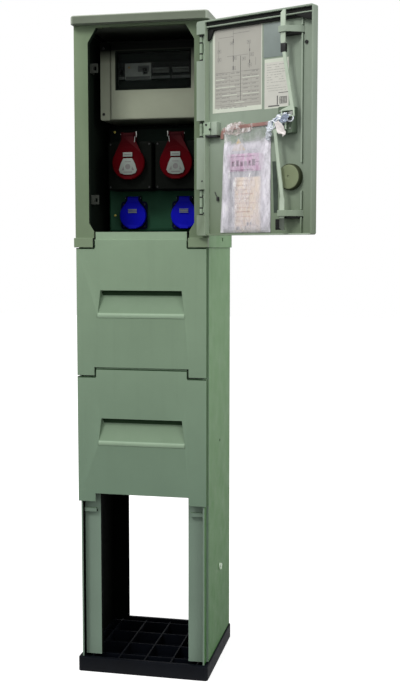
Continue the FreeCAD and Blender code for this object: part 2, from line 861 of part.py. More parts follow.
def lever(label, middle, half):
    """A switch lever that stands up at rest and turns down about its own pivot."""
    piece = new_piece(label)
    reach = 14.0
    pad(piece, "side", 0.2 - half, half - 0.2, Round(0, 0, 5))
    pad(piece, "side", 0.6 - half, half - 0.6, [(-3, -3), (-3, 3), (-reach, 1.6), (-reach, -1.6)])
    pad(piece, "side", -half - 1.2, half + 1.2, Round(0, 0, 1.2))
    middle = tied(middle)
    piece.Placement = FreeCAD.Placement(FreeCAD.Vector(0, -8, 0), FreeCAD.Rotation(FreeCAD.Vector(1, 0, 0), -1))
    piece.setExpression("Placement.Base.x", middle.formula)
    piece.setExpression("Placement.Base.z", "Sizes.rail_centre")
    piece.setExpression("Placement.Rotation.Angle", "-Sizes.toggle_angle")
    return piece


spots = [
    ("single_pole_breaker", 0, 1, (0.5, 9.0)),
    ("residual_current_device", 1, 4, (3.1, 12.0)),
    ("three_pole_breaker_left", 5, 3, (1.5, 44.0)),
    ("three_pole_breaker_right", 8, 3, (1.5, 44.0)),
]
for label, first, count, levers in spots:
    middle, half = modular_device(label, first, count, levers)
    if label == "residual_current_device":
        rcd = pieces[-1]
        button_x = mm.module_width * (1 - 5.5) + 11
        cut(rcd, "front", -mm.nose_front, -8, Round(button_x, centre + 10, 3.3))
    lever(label + "_lever", middle, half)
button = new_piece("test_button")
pad(button, "front", -mm.nose_front - 2, -10, Round(button_x, centre + 10, 3.0))

# Socket tray.
tray = new_piece("socket_tray")
tray_front = mm.tray_front
pad(tray, "front", tray_front, plate_front, block(-mm.tray_half, mm.tray_half, mm.tray_bottom, mm.tray_top))
dress(tray, "Fillet", 6, lambda edge: edge.BoundBox.YLength > 1 or at_depth(edge, tray_front.number))
cut(tray, "front", tray_front + 3, plate_front,
    block(3 - mm.tray_half, mm.tray_half - 3, mm.tray_bottom + 3, mm.tray_top - 3))
blue_up = mm.blue_centre
cut(tray, "front", tray_front, tray_front + 3, *[Round(mm.blue_across * side, blue_up, 31.5) for side in (-1, 1)])


def lid_ears(piece, across, axis_y, axis_z, root_y, low):
    """Two ears that carry a lid pin."""
    for side in (-1, 1):
        left = tied(across) + (14.4 if side > 0 else -20.4)
        pad(piece, "side", left, left + 6, [
            (axis_y - 4, axis_z - 6),
            (axis_y - 4, axis_z + 5),
            (axis_y + 4, axis_z + 5),
            (root_y, axis_z - 2),
            (root_y, low),
            (axis_y + 3, low),
        ])
    cut(piece, "side", tied(across) - 21, tied(across) + 21, Round(axis_y, axis_z, mm.lid_pin))


def lid(label, across, up, radius, lid_front, lid_back, axis_y, axis_z, shoulder_angle):
    """A round sprung lid with a neck up to its hinge barrel."""
    piece = new_piece(label)
    across, up = tied(across), tied(up)
    pad(piece, "front", lid_front, lid_back, Round(across, up, radius))
    dress(piece, "Fillet", 3, lambda edge: at_depth(edge, tied(lid_front).number))
    cut(piece, "front", lid_front + 3, lid_back, Round(across, up, radius - 3))
    pad(piece, "front", lid_front + 1.5, lid_front + 5, block(across - 14, across + 14, up + radius - 8, axis_z))
    shoulder = axis_z - 6
    tangent = math.radians(shoulder_angle)
    reach, rise = radius * math.cos(tangent), radius * math.sin(tangent)
    pad(piece, "front", lid_front + 0.6, lid_front + 3.2, [
        (across - 14, shoulder),
        (across + 14, shoulder),
        (across + reach, up + rise),
        (across - reach, up + rise),
    ])
    pad(piece, "side", across - 14, across + 14, Round(axis_y, axis_z, 4.2))
    cut(piece, "side", across - 14, across + 14, Round(axis_y, axis_z, mm.lid_pin + mm.pin_clearance))
    pad(piece, "front", lid_front - 3, lid_front + 2, block(across - 11, across + 11, up - radius + 2, up - radius + 8))


# Red sockets: sloping boxes, a collar, a contact insert and a sprung lid.
red_front = -mm.red_box_front
for name, side in (("left", -1), ("right", 1)):
    box = new_piece("red_socket_box_" + name)
    across = mm.red_across * side
    pad(box, "front", red_front, tray_front,
        block(across - mm.red_box_half, across + mm.red_box_half, mm.red_box_bottom, mm.red_box_top))
    dress(box, "Fillet", 8, lambda edge: edge.BoundBox.YLength > 1)
    dress(box, "Fillet", 4, lambda edge: at_depth(edge, red_front.number))
    red_up = mm.red_centre
    cut(box, "front", red_front, 12, Round(across, red_up, 34))
    collar = new_piece("red_socket_collar_" + name)
    collar_front = red_front - 7
    ring_axis_y = collar_front - 1
    ring_axis_z = red_up + mm.red_hinge_rise
    pad(collar, "front", collar_front, red_front, Round(across, red_up, 41))
    pad(collar, "front", red_front - 4, red_front,
        block(across - 20.4, across + 20.4, red_up + 30, mm.red_box_top + 4))
    lid_ears(collar, across, ring_axis_y, ring_axis_z, red_front, red_up + 46)
    cut(collar, "front", collar_front, red_front, Round(across, red_up, 34))
    insert = new_piece("red_insert_" + name)
    pad(insert, "front", -20, 12, Round(across, red_up, 26))
    pad(insert, "front", 8, 12, Round(across, red_up, 33.7))
    dress(insert, "Fillet", 1.5, lambda edge: at_depth(edge, -20))
    holes = []
    for turn_step in range(5):
        angle = math.radians(90 + 72 * turn_step)
        holes.append(Round(across + 16 * math.cos(angle), red_up + 16 * math.sin(angle), 3.4 if turn_step else 4.2))
    cut(insert, "front", -20, 2, *holes)
    lid("red_lid_" + name, across, red_up, mm.red_lid_radius, collar_front - 9, collar_front - 0.4,
        ring_axis_y, ring_axis_z, 36)
    pin = new_piece("red_lid_pin_" + name)
    pad(pin, "side", across - 21.5, across + 21.5, Round(ring_axis_y, ring_axis_z, mm.lid_pin))

# Blue sockets: flange with a cup through the tray, insert and sprung lid.
for name, side in (("left", -1), ("right", 1)):
    flange = new_piece("blue_socket_flange_" + name)
    across = mm.blue_across * side
    pad(flange, "front", tray_front - 4, tray_front, block(across - 36, across + 36, blue_up - 36, blue_up + 38))
    dress(flange, "Fillet", 9, lambda edge: edge.BoundBox.YLength > 1)
    pad(flange, "front", tray_front - 11, tray_front, Round(across, blue_up, 33.5))
    pad(flange, "front", tray_front, tray_front + 25, Round(across, blue_up, 31.2))
    blue_axis_y = tray_front - 12
    blue_axis_z = blue_up + mm.blue_hinge_rise
    lid_ears(flange, across, blue_axis_y, blue_axis_z, tray_front, blue_up + 30)
    cut(flange, "front", tray_front - 11, tray_front + 22, Round(across, blue_up, 29))
    insert = new_piece("blue_insert_" + name)
    pad(insert, "front", tray_front - 6, tray_front + 22, Round(across, blue_up, 28.8))
    cut(insert, "front", tray_front - 6, tray_front + 11.5, Round(across, blue_up, 20))
    cut(insert, "front", tray_front + 11.5, tray_front + 20,
        Round(across - 9.5, blue_up, 2.75), Round(across + 9.5, blue_up, 2.75))
    lid("blue_lid_" + name, across, blue_up, mm.blue_lid_radius, tray_front - 19, tray_front - 11.4,
        blue_axis_y, blue_axis_z, 24)
    pin = new_piece("blue_lid_pin_" + name)
    pad(pin, "side", across - 21.5, across + 21.5, Round(blue_axis_y, blue_axis_z, mm.lid_pin))

# Door: a moulded pan with a solid hinge stile, drawn closed about the hinge line.
door = hang_on_door(new_piece("door_panel"))
door_left = door_x(-mm.door_half)
door_right = door_x(mm.door_half)
door_top = mm.housing_top - mm.door_top_gap
skin_front = door_y(-mm.door_front)
skin_back = skin_front + mm.door_skin
rim_back = skin_front + mm.door_depth
pad(door, "front", skin_front, rim_back, block(door_left, door_right, mm.door_bottom, door_top))
dress(door, "Fillet", 5, lambda edge: edge.BoundBox.YLength > 1 and edge.BoundBox.ZLength < 0.01)
dress(door, "Fillet", 3, lambda edge: at_depth(edge, skin_front.number))
stile = door_right - mm.door_stile
cut(door, "front", skin_back, rim_back,
    block(door_left + 4, stile, mm.door_bottom + 4, door_top - 4))
cut(door, "front", rim_back - 4.5, rim_back,
    block(door_left + 4, stile, mm.door_bottom, mm.door_bottom + 4))
through = []
blind = []
for middle, ear, knuckle in HINGES:
    reach = ear + knuckle / 2 + 2
    through.append(block(-7.5, door_right, middle - reach, middle + reach))
    blind.append(block(-17.5, -7.5, middle - reach, middle + reach))
cut(door, "front", skin_front, rim_back, *through)
cut(door, "front", -2, rim_back, *blind)
channel_high = door_top - mm.door_channel
channel_low = channel_high - mm.door_channel_wall
rib_breaks = [
    (mm.door_bottom + 4, mm.guide_low - 9),
    (mm.guide_low + 9, mm.boss_level - mm.boss_radius - 2),
    (mm.boss_level + mm.boss_radius + 2, mm.guide_high - 9),
    (mm.guide_high + 9, channel_low),
]
rib_left = mm.door_stile + 9.5 - mm.door_half
ribs = [block(door_x(rib_left), door_x(rib_left + 4), low, high) for low, high in rib_breaks]
pad(door, "front", skin_back, skin_back + 5, *ribs)
pad(door, "front", skin_back, rim_back - 4, block(door_left + 4, stile, channel_low, channel_high))
vent_left, vent_low = door_x(-71), mm.door_bottom + 12
cut(door, "front", skin_back - 2.5, skin_back, block(vent_left, vent_left + 17, vent_low, vent_low + 25))
strap_half = 14.0
strap_low, strap_high = mm.middle_hinge - strap_half, mm.middle_hinge + strap_half
strap_end = door_x(122)
strap_seat = rim_back - 2.2
pad(door, "front", skin_back, strap_seat, block(strap_end, stile, strap_low - 2, strap_high + 2))
cut(door, "front", strap_seat, rim_back, block(stile, -17.4, strap_low - 0.3, strap_high + 0.3))

for name, (middle, ear, knuckle) in zip(("upper", "middle", "lower"), HINGES):
    reach = ear + knuckle / 2
    low = middle - reach
    high = middle + reach
    gap_low = middle - knuckle / 2 - 0.4
    gap_high = middle + knuckle / 2 + 0.4
    leaf = hang_on_door(new_piece("door_hinge_leaf_" + name))
    pad(leaf, "top", low, high, Round(0, 0, mm.knuckle_radius))
    pad(leaf, "top", low, high, block(-17, 0, -2, 1))
    if name == "middle":
        pad(leaf, "top", strap_low, strap_high, block(-17, -14.5, -2, rim_back - 0.2))
        pad(leaf, "top", strap_low, strap_high, block(strap_end, -14.5, strap_seat, rim_back - 0.2))
    cut(leaf, "top", gap_low, gap_high, block(-6.6, 6, -6, 6))
    cut(leaf, "top", low, high, Round(0, 0, mm.pin_radius + mm.pin_clearance))
    fixed = new_piece("frame_hinge_leaf_" + name)
    pivot_y = -mm.hinge_forward
    low = middle - knuckle / 2
    high = middle + knuckle / 2
    pad(fixed, "top", low, high, Round(mm.hinge_across, pivot_y, mm.knuckle_radius))
    pad(fixed, "top", low, high, block(arm_left, arm_right, pivot_y, -mm.housing_front))
    pad(fixed, "front", -mm.housing_front, 2.5 - mm.housing_front, block(mm.hinge_across - 14.5, mm.hinge_across + 9.5, low - 9, high + 9))
    cut(fixed, "top", low, high, Round(mm.hinge_across, pivot_y, mm.pin_radius + mm.pin_clearance))
    pin = new_piece("hinge_pin_" + name)
    pad(pin, "top", middle - reach - 0.8, middle + reach + 0.8, Round(mm.hinge_across, pivot_y, mm.pin_radius))

# Lock: case, cam with two pins, rods and their guides.
case = hang_on_door(new_piece("lock_case"))
lock_x = door_x(mm.lock_across)
lock_z = mm.lock_centre
cam_front = door_y(-mm.rod_front) - 3.5
pad(case, "front", skin_back, cam_front - 0.4, block(lock_x - 19, lock_x + 19, lock_z - 30, lock_z + 30))
dress(case, "Fillet", 3, lambda edge: edge.BoundBox.YLength > 1)
cut(case, "front", skin_back, cam_front - 0.4, Round(lock_x, lock_z, 7.1))
cut(door, "front", skin_front, skin_back, Round(lock_x, lock_z, 7.1))

cam = hang_on_door(new_piece("lock_cam"))
arm = 31
slant_x = mm.cam_pin_across
slant_z = mm.cam_pin_up
pad(cam, "front", cam_front, cam_front + 3, [
    (lock_x - slant_x - 6, lock_z + slant_z - 4),
    (lock_x - 4, lock_z - 11),
    (lock_x + slant_x + 2, lock_z - slant_z - 8),
    (lock_x + slant_x + 6, lock_z - slant_z + 4),
    (lock_x + 4, lock_z + 11),
    (lock_x - slant_x - 2, lock_z + slant_z + 8),
])
pad(cam, "front", skin_front - 6, cam_front, Round(lock_x, lock_z, 7))
pad(cam, "front", cam_front, cam_front + 8.5,
    Round(lock_x - slant_x, lock_z + slant_z, 3), Round(lock_x + slant_x, lock_z - slant_z, 3))

rod_in = door_y(-mm.rod_front)
rod_out = rod_in + mm.rod_thickness
line = door_x(mm.rod_line)
half_rod = mm.rod_width / 2
upper = hang_on_door(new_piece("upper_rod"))
straight_low = mm.guide_high - 26
slim = mm.rod_neck / 2
pin_x, pin_z = lock_x - slant_x, lock_z + slant_z
pad(upper, "front", rod_in, rod_out, [
    (pin_x - 6, pin_z - 6.5),
    (lock_x + 6.5, pin_z - 6.5),
    (lock_x + 6.5, pin_z + 10),
    (pin_x + slim, pin_z + 18),
    (line + slim, straight_low - 8),
    (line + half_rod, straight_low),
    (line + half_rod, mm.rod_top - 6),
    (line, mm.rod_top),
    (line - half_rod, mm.rod_top),
    (line - half_rod, straight_low),
    (line - slim, straight_low - 8),
    (pin_x - slim, pin_z + 18),
    (pin_x - 6, pin_z + 10),
])
cut(upper, "front", rod_in, rod_out,
    block(pin_x - 3.4, lock_x + 3.4, pin_z - 3.4, pin_z + 6.8))
lower = hang_on_door(new_piece("lower_rod"))
straight_high = mm.guide_low + 30
pin_x, pin_z = lock_x + slant_x, lock_z - slant_z
pad(lower, "front", rod_in, rod_out, [
    (lock_x - 6.5, pin_z + 6.5),
    (lock_x - 6.5, pin_z - 10),
    (pin_x - slim, pin_z - 18),
    (line - slim, straight_high + 8),
    (line - half_rod, straight_high),
    (line - half_rod, mm.rod_bottom),
    (line, mm.rod_bottom),
    (line + half_rod, mm.rod_bottom + 6),
    (line + half_rod, straight_high),
    (line + slim, straight_high + 8),
    (pin_x + slim, pin_z - 18),
    (pin_x + 6, pin_z - 10),
    (pin_x + 6, pin_z + 6.5),
])
cut(lower, "front", rod_in, rod_out,
    block(lock_x - 3.4, pin_x + 3.4, pin_z - 6.8, pin_z + 3.4))

for label, level in (("rod_guide_upper", mm.guide_high), ("rod_guide_lower", mm.guide_low)):
    guide = hang_on_door(new_piece(label))
    top = rod_out + 3.5
    pad(guide, "top", level - 7, level + 7, [
        (line - 40, skin_back),
        (line - 12, top),
        (line + 10, top),
        (line + 14, skin_back),
    ])
    gap = mm.running_gap
    cut(guide, "top", level - 7, level + 7,
        block(line - half_rod - gap, line + half_rod + gap, rod_in - gap, rod_out + gap))

# Round stay boss, door handle and its escutcheon.
boss = hang_on_door(new_piece("door_boss"))
boss_x = door_x(mm.boss_across)
boss_end = skin_back + mm.boss_depth
pad(boss, "front", skin_back, boss_end, Round(boss_x, mm.boss_level, mm.boss_radius))
dress(boss, "Fillet", 5, lambda edge: at_depth(edge, boss_end.number))
cut(boss, "front", boss_end - 1.2, boss_end, Round(boss_x, mm.boss_level, 3.5))

escutcheon = hang_on_door(new_piece("handle_escutcheon"))
pad(escutcheon, "front", skin_front - 5, skin_front, block(lock_x - 17, lock_x + 17, lock_z - 62, lock_z + 24))
dress(escutcheon, "Fillet", 8, lambda edge: edge.BoundBox.YLength > 1)
cut(escutcheon, "front", skin_front - 5, skin_front, Round(lock_x, lock_z, 7.1))
handle = hang_on_door(new_piece("swing_handle"))
handle_front = skin_front - 22
pivot_out = skin_front - 13
head = 6.6
pad(handle, "side", lock_x - 9, lock_x + 9, Round(pivot_out, lock_z, head))
pad(handle, "side", lock_x - 9, lock_x + 9, [
    (pivot_out + 5, lock_z),
    (pivot_out - head, lock_z),
    (handle_front, lock_z - 14),
    (handle_front, lock_z - 50),
    (handle_front + 4, lock_z - 60),
    (handle_front + 9, lock_z - 60),
    (handle_front + 7, lock_z - 50),
    (handle_front + 7, lock_z - 16),
])
dress(handle, "Fillet", 2, lambda edge: edge.BoundBox.XLength > 1 and edge.BoundBox.Center.z < lock_z.number - 20)
cut(handle, "front", handle_front - 1, skin_front - 5, block(lock_x - 4.9, lock_x + 4.9, lock_z - 9, lock_z + 8))
cut(handle, "side", lock_x - 9, lock_x + 9, Round(pivot_out, lock_z, 2.05))
pad(cam, "side", lock_x - 4.5, lock_x + 4.5, [
    (skin_front - 3, lock_z - 5),
    (skin_front - 3, lock_z + 5),
    (pivot_out, lock_z + 5),
    (pivot_out, lock_z - 5),
])
pad(cam, "side", lock_x - 4.5, lock_x + 4.5, Round(pivot_out, lock_z, 5))
pad(cam, "side", lock_x - 8.8, lock_x + 8.8, Round(pivot_out, lock_z, 2))

# Paper items inside the door: two printed sheets, the document bag and its tie.
large = hang_on_door(new_piece("circuit_sheet"))
pad(large, "front", skin_back, skin_back + mm.label_thickness, 
    block(door_x(mm.sheet_left), door_x(mm.sheet_right), mm.sheet_low, mm.sheet_high))
small = hang_on_door(new_piece("rating_sheet"))
pad(small, "front", skin_back, skin_back + mm.label_thickness, 
    block(door_x(mm.small_sheet_left), door_x(mm.small_sheet_right), mm.small_sheet_low, mm.small_sheet_high))
bag = hang_on_door(new_piece("document_bag"))
pad(bag, "front", skin_back, skin_back + mm.bag_depth, [
    (door_x(mm.bag_left), mm.bag_bottom),
    (door_x(mm.bag_right), mm.bag_bottom),
    (door_x(mm.bag_right), mm.bag_top - 12),
    (door_x(mm.bag_left), mm.bag_top),
])



def gather(label, *names):
    """Several like pieces that are fixed together as one sub-part."""
    members = [piece for name in names for piece in pieces if piece.Label == name]
    group = document.addObject("Part::Compound", label)
    group.Label = label
    group.Links = members
    for member in members:
        pieces.remove(member)
    pieces.append(group)


gather("wall_brackets", *bracket_names)
gather("red_inserts", "red_insert_left", "red_insert_right")
gather("blue_inserts", "blue_insert_left", "blue_insert_right")
gather("lid_pins", "red_lid_pin_left", "red_lid_pin_right", "blue_lid_pin_left", "blue_lid_pin_right")
gather("hinge_pins", "hinge_pin_upper", "hinge_pin_middle", "hinge_pin_lower")
gather("frame_hinge_leaves", "frame_hinge_leaf_upper", "frame_hinge_leaf_middle", "frame_hinge_leaf_lower")
gather("door_hinge_leaves", "door_hinge_leaf_upper", "door_hinge_leaf_middle", "door_hinge_leaf_lower")
gather("rod_guides", "rod_guide_upper", "rod_guide_lower")

document.recompute()
if __name__ == "__main__":
    faults = []
    for item in document.Objects:
        if "Invalid" in item.State or "Error" in item.State:
            faults.append("%s: %s" % (item.Name, item.State))
    for feature in cuts:
        if not feature.Shape.Volume < feature.BaseFeature.Shape.Volume - 1e-3:
            faults.append("%s cuts nothing" % feature.Name)
    for piece in pieces:
        if piece.Shape.isNull() or not piece.Shape.isValid():
            faults.append("%s has no sound shape" % piece.Label)
    if faults:
        raise RuntimeError("; ".join(faults))
    os.makedirs("parts", exist_ok=True)
    for piece in pieces:
        piece.Shape.exportStep("parts/%s.step" % piece.Label)
        count = len(piece.Shape.Solids)
        print("%-34s %d solid %9.1f mm3" % (piece.Label, count, piece.Shape.Volume))
    print("%d pieces" % len(pieces))
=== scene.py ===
"""Looks of a construction site distribution board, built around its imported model."""

import json
import logging
import math
import random
from dataclasses import dataclass
from enum import Enum
from typing import Iterable, Optional, Sequence

import bmesh
import bpy
from mathutils import Matrix, Vector, noise


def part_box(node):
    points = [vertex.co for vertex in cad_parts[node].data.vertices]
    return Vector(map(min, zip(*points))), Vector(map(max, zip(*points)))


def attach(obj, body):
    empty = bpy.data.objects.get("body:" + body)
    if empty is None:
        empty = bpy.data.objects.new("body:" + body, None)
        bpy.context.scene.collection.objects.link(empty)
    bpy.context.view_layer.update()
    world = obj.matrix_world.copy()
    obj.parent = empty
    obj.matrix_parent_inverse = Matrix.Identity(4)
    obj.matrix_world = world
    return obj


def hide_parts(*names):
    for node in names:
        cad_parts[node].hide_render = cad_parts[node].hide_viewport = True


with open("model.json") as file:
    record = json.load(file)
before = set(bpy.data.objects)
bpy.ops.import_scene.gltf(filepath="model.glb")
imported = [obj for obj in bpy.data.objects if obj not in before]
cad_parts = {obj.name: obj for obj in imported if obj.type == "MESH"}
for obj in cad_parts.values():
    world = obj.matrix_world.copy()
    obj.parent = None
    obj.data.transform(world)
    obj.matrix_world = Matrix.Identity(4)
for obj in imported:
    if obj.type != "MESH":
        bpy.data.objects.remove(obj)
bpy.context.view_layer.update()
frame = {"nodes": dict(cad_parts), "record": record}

log = logging.getLogger("site_board")
MM = 0.001
Point = Sequence[float]
Color = tuple[float, float, float]


class Axis(Enum):
    """The direction a round or extruded form runs along."""

    X = 0
    Y = 1
    Z = 2


class Body(str, Enum):
    """The moving bodies that added pieces ride on."""

    CABINET = "cabinet"
    DOOR = "door"
    UPPER_BOLT = "upper_bolt"
    UPPER_FRONT = "upper_front"
    LOWER_FRONT = "lower_front"
    RED_LEFT = "red_cover_left"
    RED_RIGHT = "red_cover_right"
    BLUE_LEFT = "blue_cover_left"
    BLUE_RIGHT = "blue_cover_right"


class Slot(str, Enum):
    """The record's material slots that added pieces are listed with; nothing here gives a piece its slot."""

    BLACK = "device_black"
    METAL = "galvanised"
    GREEN = "body_green"
    PAPER = "paper"
    FILM = "film"


def srgb(red: float, green: float, blue: float) -> Color:
    """Turn screen values from 0 to 255 into linear light.

    Args:
        red: The red value.
        green: The green value.
        blue: The blue value.

    Returns:
        The linear colour.
    """

    def linear(value: float) -> float:
        """One channel."""
        value /= 255.0
        return value / 12.92 if value <= 0.04045 else ((value + 0.055) / 1.055) ** 2.4

    return linear(red), linear(green), linear(blue)


def tinted(color: Color, gain: float, lift: float = 0.0) -> Color:
    """A colour made stronger or weaker and lifted, no brighter than white."""
    return tuple(min(1.0, channel * gain + lift) for channel in color)


@dataclass(frozen=True)
class Fade:
    """A second colour that a finish turns to on its way from one height, where it starts, to another, in metres."""

    color: Color
    full: float
    start: float


@dataclass(frozen=True)
class Finish:
    """One surface: its colour and how it is broken up by cloudiness, streaks, grain, dust and wear, with lightened
    edges that are wear and painted highlight together, and a fade by height.
    """

    name: str
    color: Color
    roughness: float = 0.5
    metallic: float = 0.0
    specular: float = 0.5
    tone: float = 0.10
    tone_scale: float = 5.0
    streak: float = 0.0
    speck: float = 0.0
    grain: float = 0.08
    grain_scale: float = 900.0
    wave: float = 0.0
    scuff: float = 0.0
    edge: float = 0.0
    coat: float = 0.0
    fade: Optional[Fade] = None


@dataclass(frozen=True)
class Wear:
    """A tint of the surface's own colour that shows where a pattern passes through a band."""

    low: float
    high: float
    gain: float
    lift: float = 0.0


STREAKS = Wear(0.52, 0.80, 0.55)
DUST = Wear(0.60, 0.78, 1.5, 0.03)
SCRATCHES = Wear(0.60, 0.72, 1.35, 0.02)
# Lightened edges: rubbed paint, and a painted highlight along the edges as well.
EDGE_WEAR_AND_HIGHLIGHT = Wear(0.52, 0.62, 1.7, 0.05)


class Shader:
    """A small helper that adds and joins shader nodes."""

    def __init__(self, name: str) -> None:
        """Start a material with a surface, an output and texture coordinates.

        Args:
            name: The material's name.
        """
        self.material = bpy.data.materials.new(name)
        self.material.use_nodes = True
        self.tree = self.material.node_tree
        self.tree.nodes.clear()
        self.output = self.tree.nodes.new("ShaderNodeOutputMaterial")
        self.surface = self.add("ShaderNodeBsdfPrincipled")
        self.join(self.surface, "BSDF", self.output, "Surface")
        self.place = self.add("ShaderNodeTexCoord")

    def add(self, kind: str, **sockets: object) -> bpy.types.Node:
        """Add a node and set its sockets by name.

        Args:
            kind: The node's class name.
            **sockets: Socket values; underscores stand for spaces.

        Returns:
            The new node.
        """
        node = self.tree.nodes.new(kind)
        for name, value in sockets.items():
            node.inputs[name.replace("_", " ")].default_value = value
        return node

    def join(self, source: bpy.types.Node, out: str, target: bpy.types.Node, into: object) -> None:
        """Link one node's output to another node's input."""
        self.tree.links.new(source.outputs[out], target.inputs[into])

    def noise(self, scale: float, detail: float = 3.0, rough: float = 0.55, stretch: Point = (1, 1, 1),
              coord: str = "Object") -> bpy.types.Node:
        """A noise texture on the piece's own coordinates, stretched along its axes.

        Args:
            scale: The pattern's scale.
            detail: Its number of octaves.
            rough: How strong its fine part is.
            stretch: How far each axis is multiplied first.
            coord: The texture coordinates' name.

        Returns:
            The texture's node.
        """
        mapping = self.add("ShaderNodeMapping", Scale=stretch)
        self.join(self.place, coord, mapping, "Vector")
        texture = self.add("ShaderNodeTexNoise", Scale=scale, Detail=detail, Roughness=rough)
        self.join(mapping, "Vector", texture, "Vector")
        return texture

    def axis(self, coord: str = "Object") -> bpy.types.Node:
        """Split the coordinates into outputs named X, Y and Z.

        Args:
            coord: The texture coordinates' name.

        Returns:
            The new node.
        """
        split = self.add("ShaderNodeSeparateXYZ")
        self.join(self.place, coord, split, "Vector")
        return split

    def ramp(self, source: bpy.types.Node, out: str, low: float, high: float, start: float,
             end: float) -> bpy.types.Node:
        """Map a range of one value to another, clamped.

        Args:
            source: The node that gives the value.
            out: Its output's name.
            low: The low end of what comes in.
            high: Its high end.
            start: What the low end becomes.
            end: What the high end becomes.

        Returns:
            The new node.
        """
        node = self.add("ShaderNodeMapRange", From_Min=low, From_Max=high, To_Min=start, To_Max=end)
        self.join(source, out, node, "Value")
        return node

    def math(self, operation: str, first: tuple, second: object) -> bpy.types.Node:
        """Combine a node's output with a number or with another node's output.

        Args:
            operation: The operation's name.
            first: A node and its output.
            second: A number, or a node and its output.

        Returns:
            The new node.
        """
        node = self.add("ShaderNodeMath")
        node.operation = operation
        self.join(first[0], first[1], node, 0)
        if isinstance(second, tuple):
            self.join(second[0], second[1], node, 1)
        else:
            node.inputs[1].default_value = second
        return node

    def mix(self, factor: bpy.types.Node, factor_out: str, first: tuple, second: tuple) -> bpy.types.Node:
        """Blend two colours, given as values or as node and output pairs.

        Args:
            factor: The node that gives the blend.
            factor_out: Its output's name.
            first: The colour at 0.
            second: The colour at 1.

        Returns:
            The new node.
        """
        node = self.add("ShaderNodeMix")
        node.data_type = "RGBA"
        self.join(factor, factor_out, node, 0)
        for index, value in ((6, first), (7, second)):
            if isinstance(value[0], bpy.types.Node):
                self.tree.links.new(value[0].outputs[value[1]], node.inputs[index])
            else:
                node.inputs[index].default_value = (*value, 1.0)
        return node

    def bump(self, source: bpy.types.Node, out: str, strength: float, distance: float,
             before: Optional[bpy.types.Node] = None) -> bpy.types.Node:
        """Turn a height into a surface bump, on top of an earlier bump.

        Args:
            source: The node that gives the height.
            out: Its output's name.
            strength: How strong the bump is.
            distance: How deep it is, in metres.
            before: The earlier bump, if there is one.

        Returns:
            The new node.
        """
        node = self.add("ShaderNodeBump", Strength=strength, Distance=distance)
        self.join(source, out, node, "Height")
        if before is not None:
            self.join(before, "Normal", node, "Normal")
        return node

    def paint(self, color: tuple) -> None:
        """Colour the surface from a node and output pair."""
        self.tree.links.new(color[0].outputs[color[1]], self.surface.inputs["Base Color"])

    def set(self, **sockets: float) -> None:
        """Set values of the surface by name; underscores stand for spaces."""
        for name, value in sockets.items():
            self.surface.inputs[name.replace("_", " ")].default_value = value


class Palette:
    """Builds each finish once and hands out its material."""

    def __init__(self) -> None:
        """Start with no material made."""
        self.made: dict[str, bpy.types.Material] = {}

    def get(self, finish: Finish) -> bpy.types.Material:
        """The material of a finish.

        Args:
            finish: The surface's description.

        Returns:
            Its material, made on the first call.
        """
        if finish.name not in self.made:
            self.made[finish.name] = self.build(finish)
        return self.made[finish.name]

    def clouds(self, shader: Shader, finish: Finish, color: Color) -> tuple:
        """A colour that drifts a little darker and lighter.

        Args:
            shader: The material's shader.
            finish: Gives the strength and scale of the drift.
            color: The middle colour.

        Returns:
            The node and output that give the colour.
        """
        cloud = shader.noise(finish.tone_scale, 6.0, 0.6)
        spread = shader.ramp(cloud, "Fac", 0.32, 0.68, 0.0, 1.0)
        return shader.mix(spread, "Result", tinted(color, 1 - finish.tone), tinted(color, 1 + finish.tone)), 2

    def wear(self, shader: Shader, color: tuple, pattern: tuple, wear: Wear, share: float, base: Color) -> tuple:
        """Lay a wear's tint over a colour, at most by a share."""
        factor = shader.ramp(pattern[0], pattern[1], wear.low, wear.high, 0.0, share)
        return shader.mix(factor, "Result", color, tinted(base, wear.gain, wear.lift)), 2

    def build(self, finish: Finish) -> bpy.types.Material:
        """Make the node tree of a finish.

        Args:
            finish: The surface's description.

        Returns:
            The finished material.
        """
        shader = Shader(finish.name)
        color = self.clouds(shader, finish, finish.color)
        if finish.fade:
            height = shader.ramp(shader.axis(), "Z", finish.fade.full, finish.fade.start, 1.0, 0.0)
            color = shader.mix(height, "Result", color, self.clouds(shader, finish, finish.fade.color)), 2
        if finish.streak:
            run = shader.noise(1.0, 5.0, 0.65, (46, 46, 2.2)), "Fac"
            color = self.wear(shader, color, run, STREAKS, finish.streak, finish.color)
        if finish.speck:
            dot = shader.noise(260.0, 4.0, 0.7), "Fac"
            color = self.wear(shader, color, dot, DUST, finish.speck, finish.color)
        if finish.scuff:
            scratch = shader.noise(24.0, 8.0, 0.75, (1, 1, 5)), "Fac"
            color = self.wear(shader, color, scratch, SCRATCHES, finish.scuff, finish.color)
        # Edges found by pointiness are lightened: wear, and a painted highlight along the edges.
        if finish.edge:
            shape = shader.add("ShaderNodeNewGeometry"), "Pointiness"
            color = self.wear(shader, color, shape, EDGE_WEAR_AND_HIGHLIGHT, finish.edge, finish.color)
        shader.paint(color)
        gloss = shader.noise(finish.tone_scale * 6, 5.0, 0.6)
        sheen = shader.ramp(gloss, "Fac", 0.3, 0.7, finish.roughness - 0.06, finish.roughness + 0.08)
        shader.join(sheen, "Result", shader.surface, "Roughness")
        grain = shader.noise(finish.grain_scale, 3.0, 0.6)
        normal = shader.bump(grain, "Fac", finish.grain, 0.0004)
        if finish.wave:
            normal = shader.bump(shader.noise(9.0, 2.0, 0.5), "Fac", finish.wave, 0.004, normal)
        shader.join(normal, "Normal", shader.surface, "Normal")
        shader.set(Metallic=finish.metallic, Specular_IOR_Level=finish.specular, Coat_Weight=finish.coat)
        return shader.material


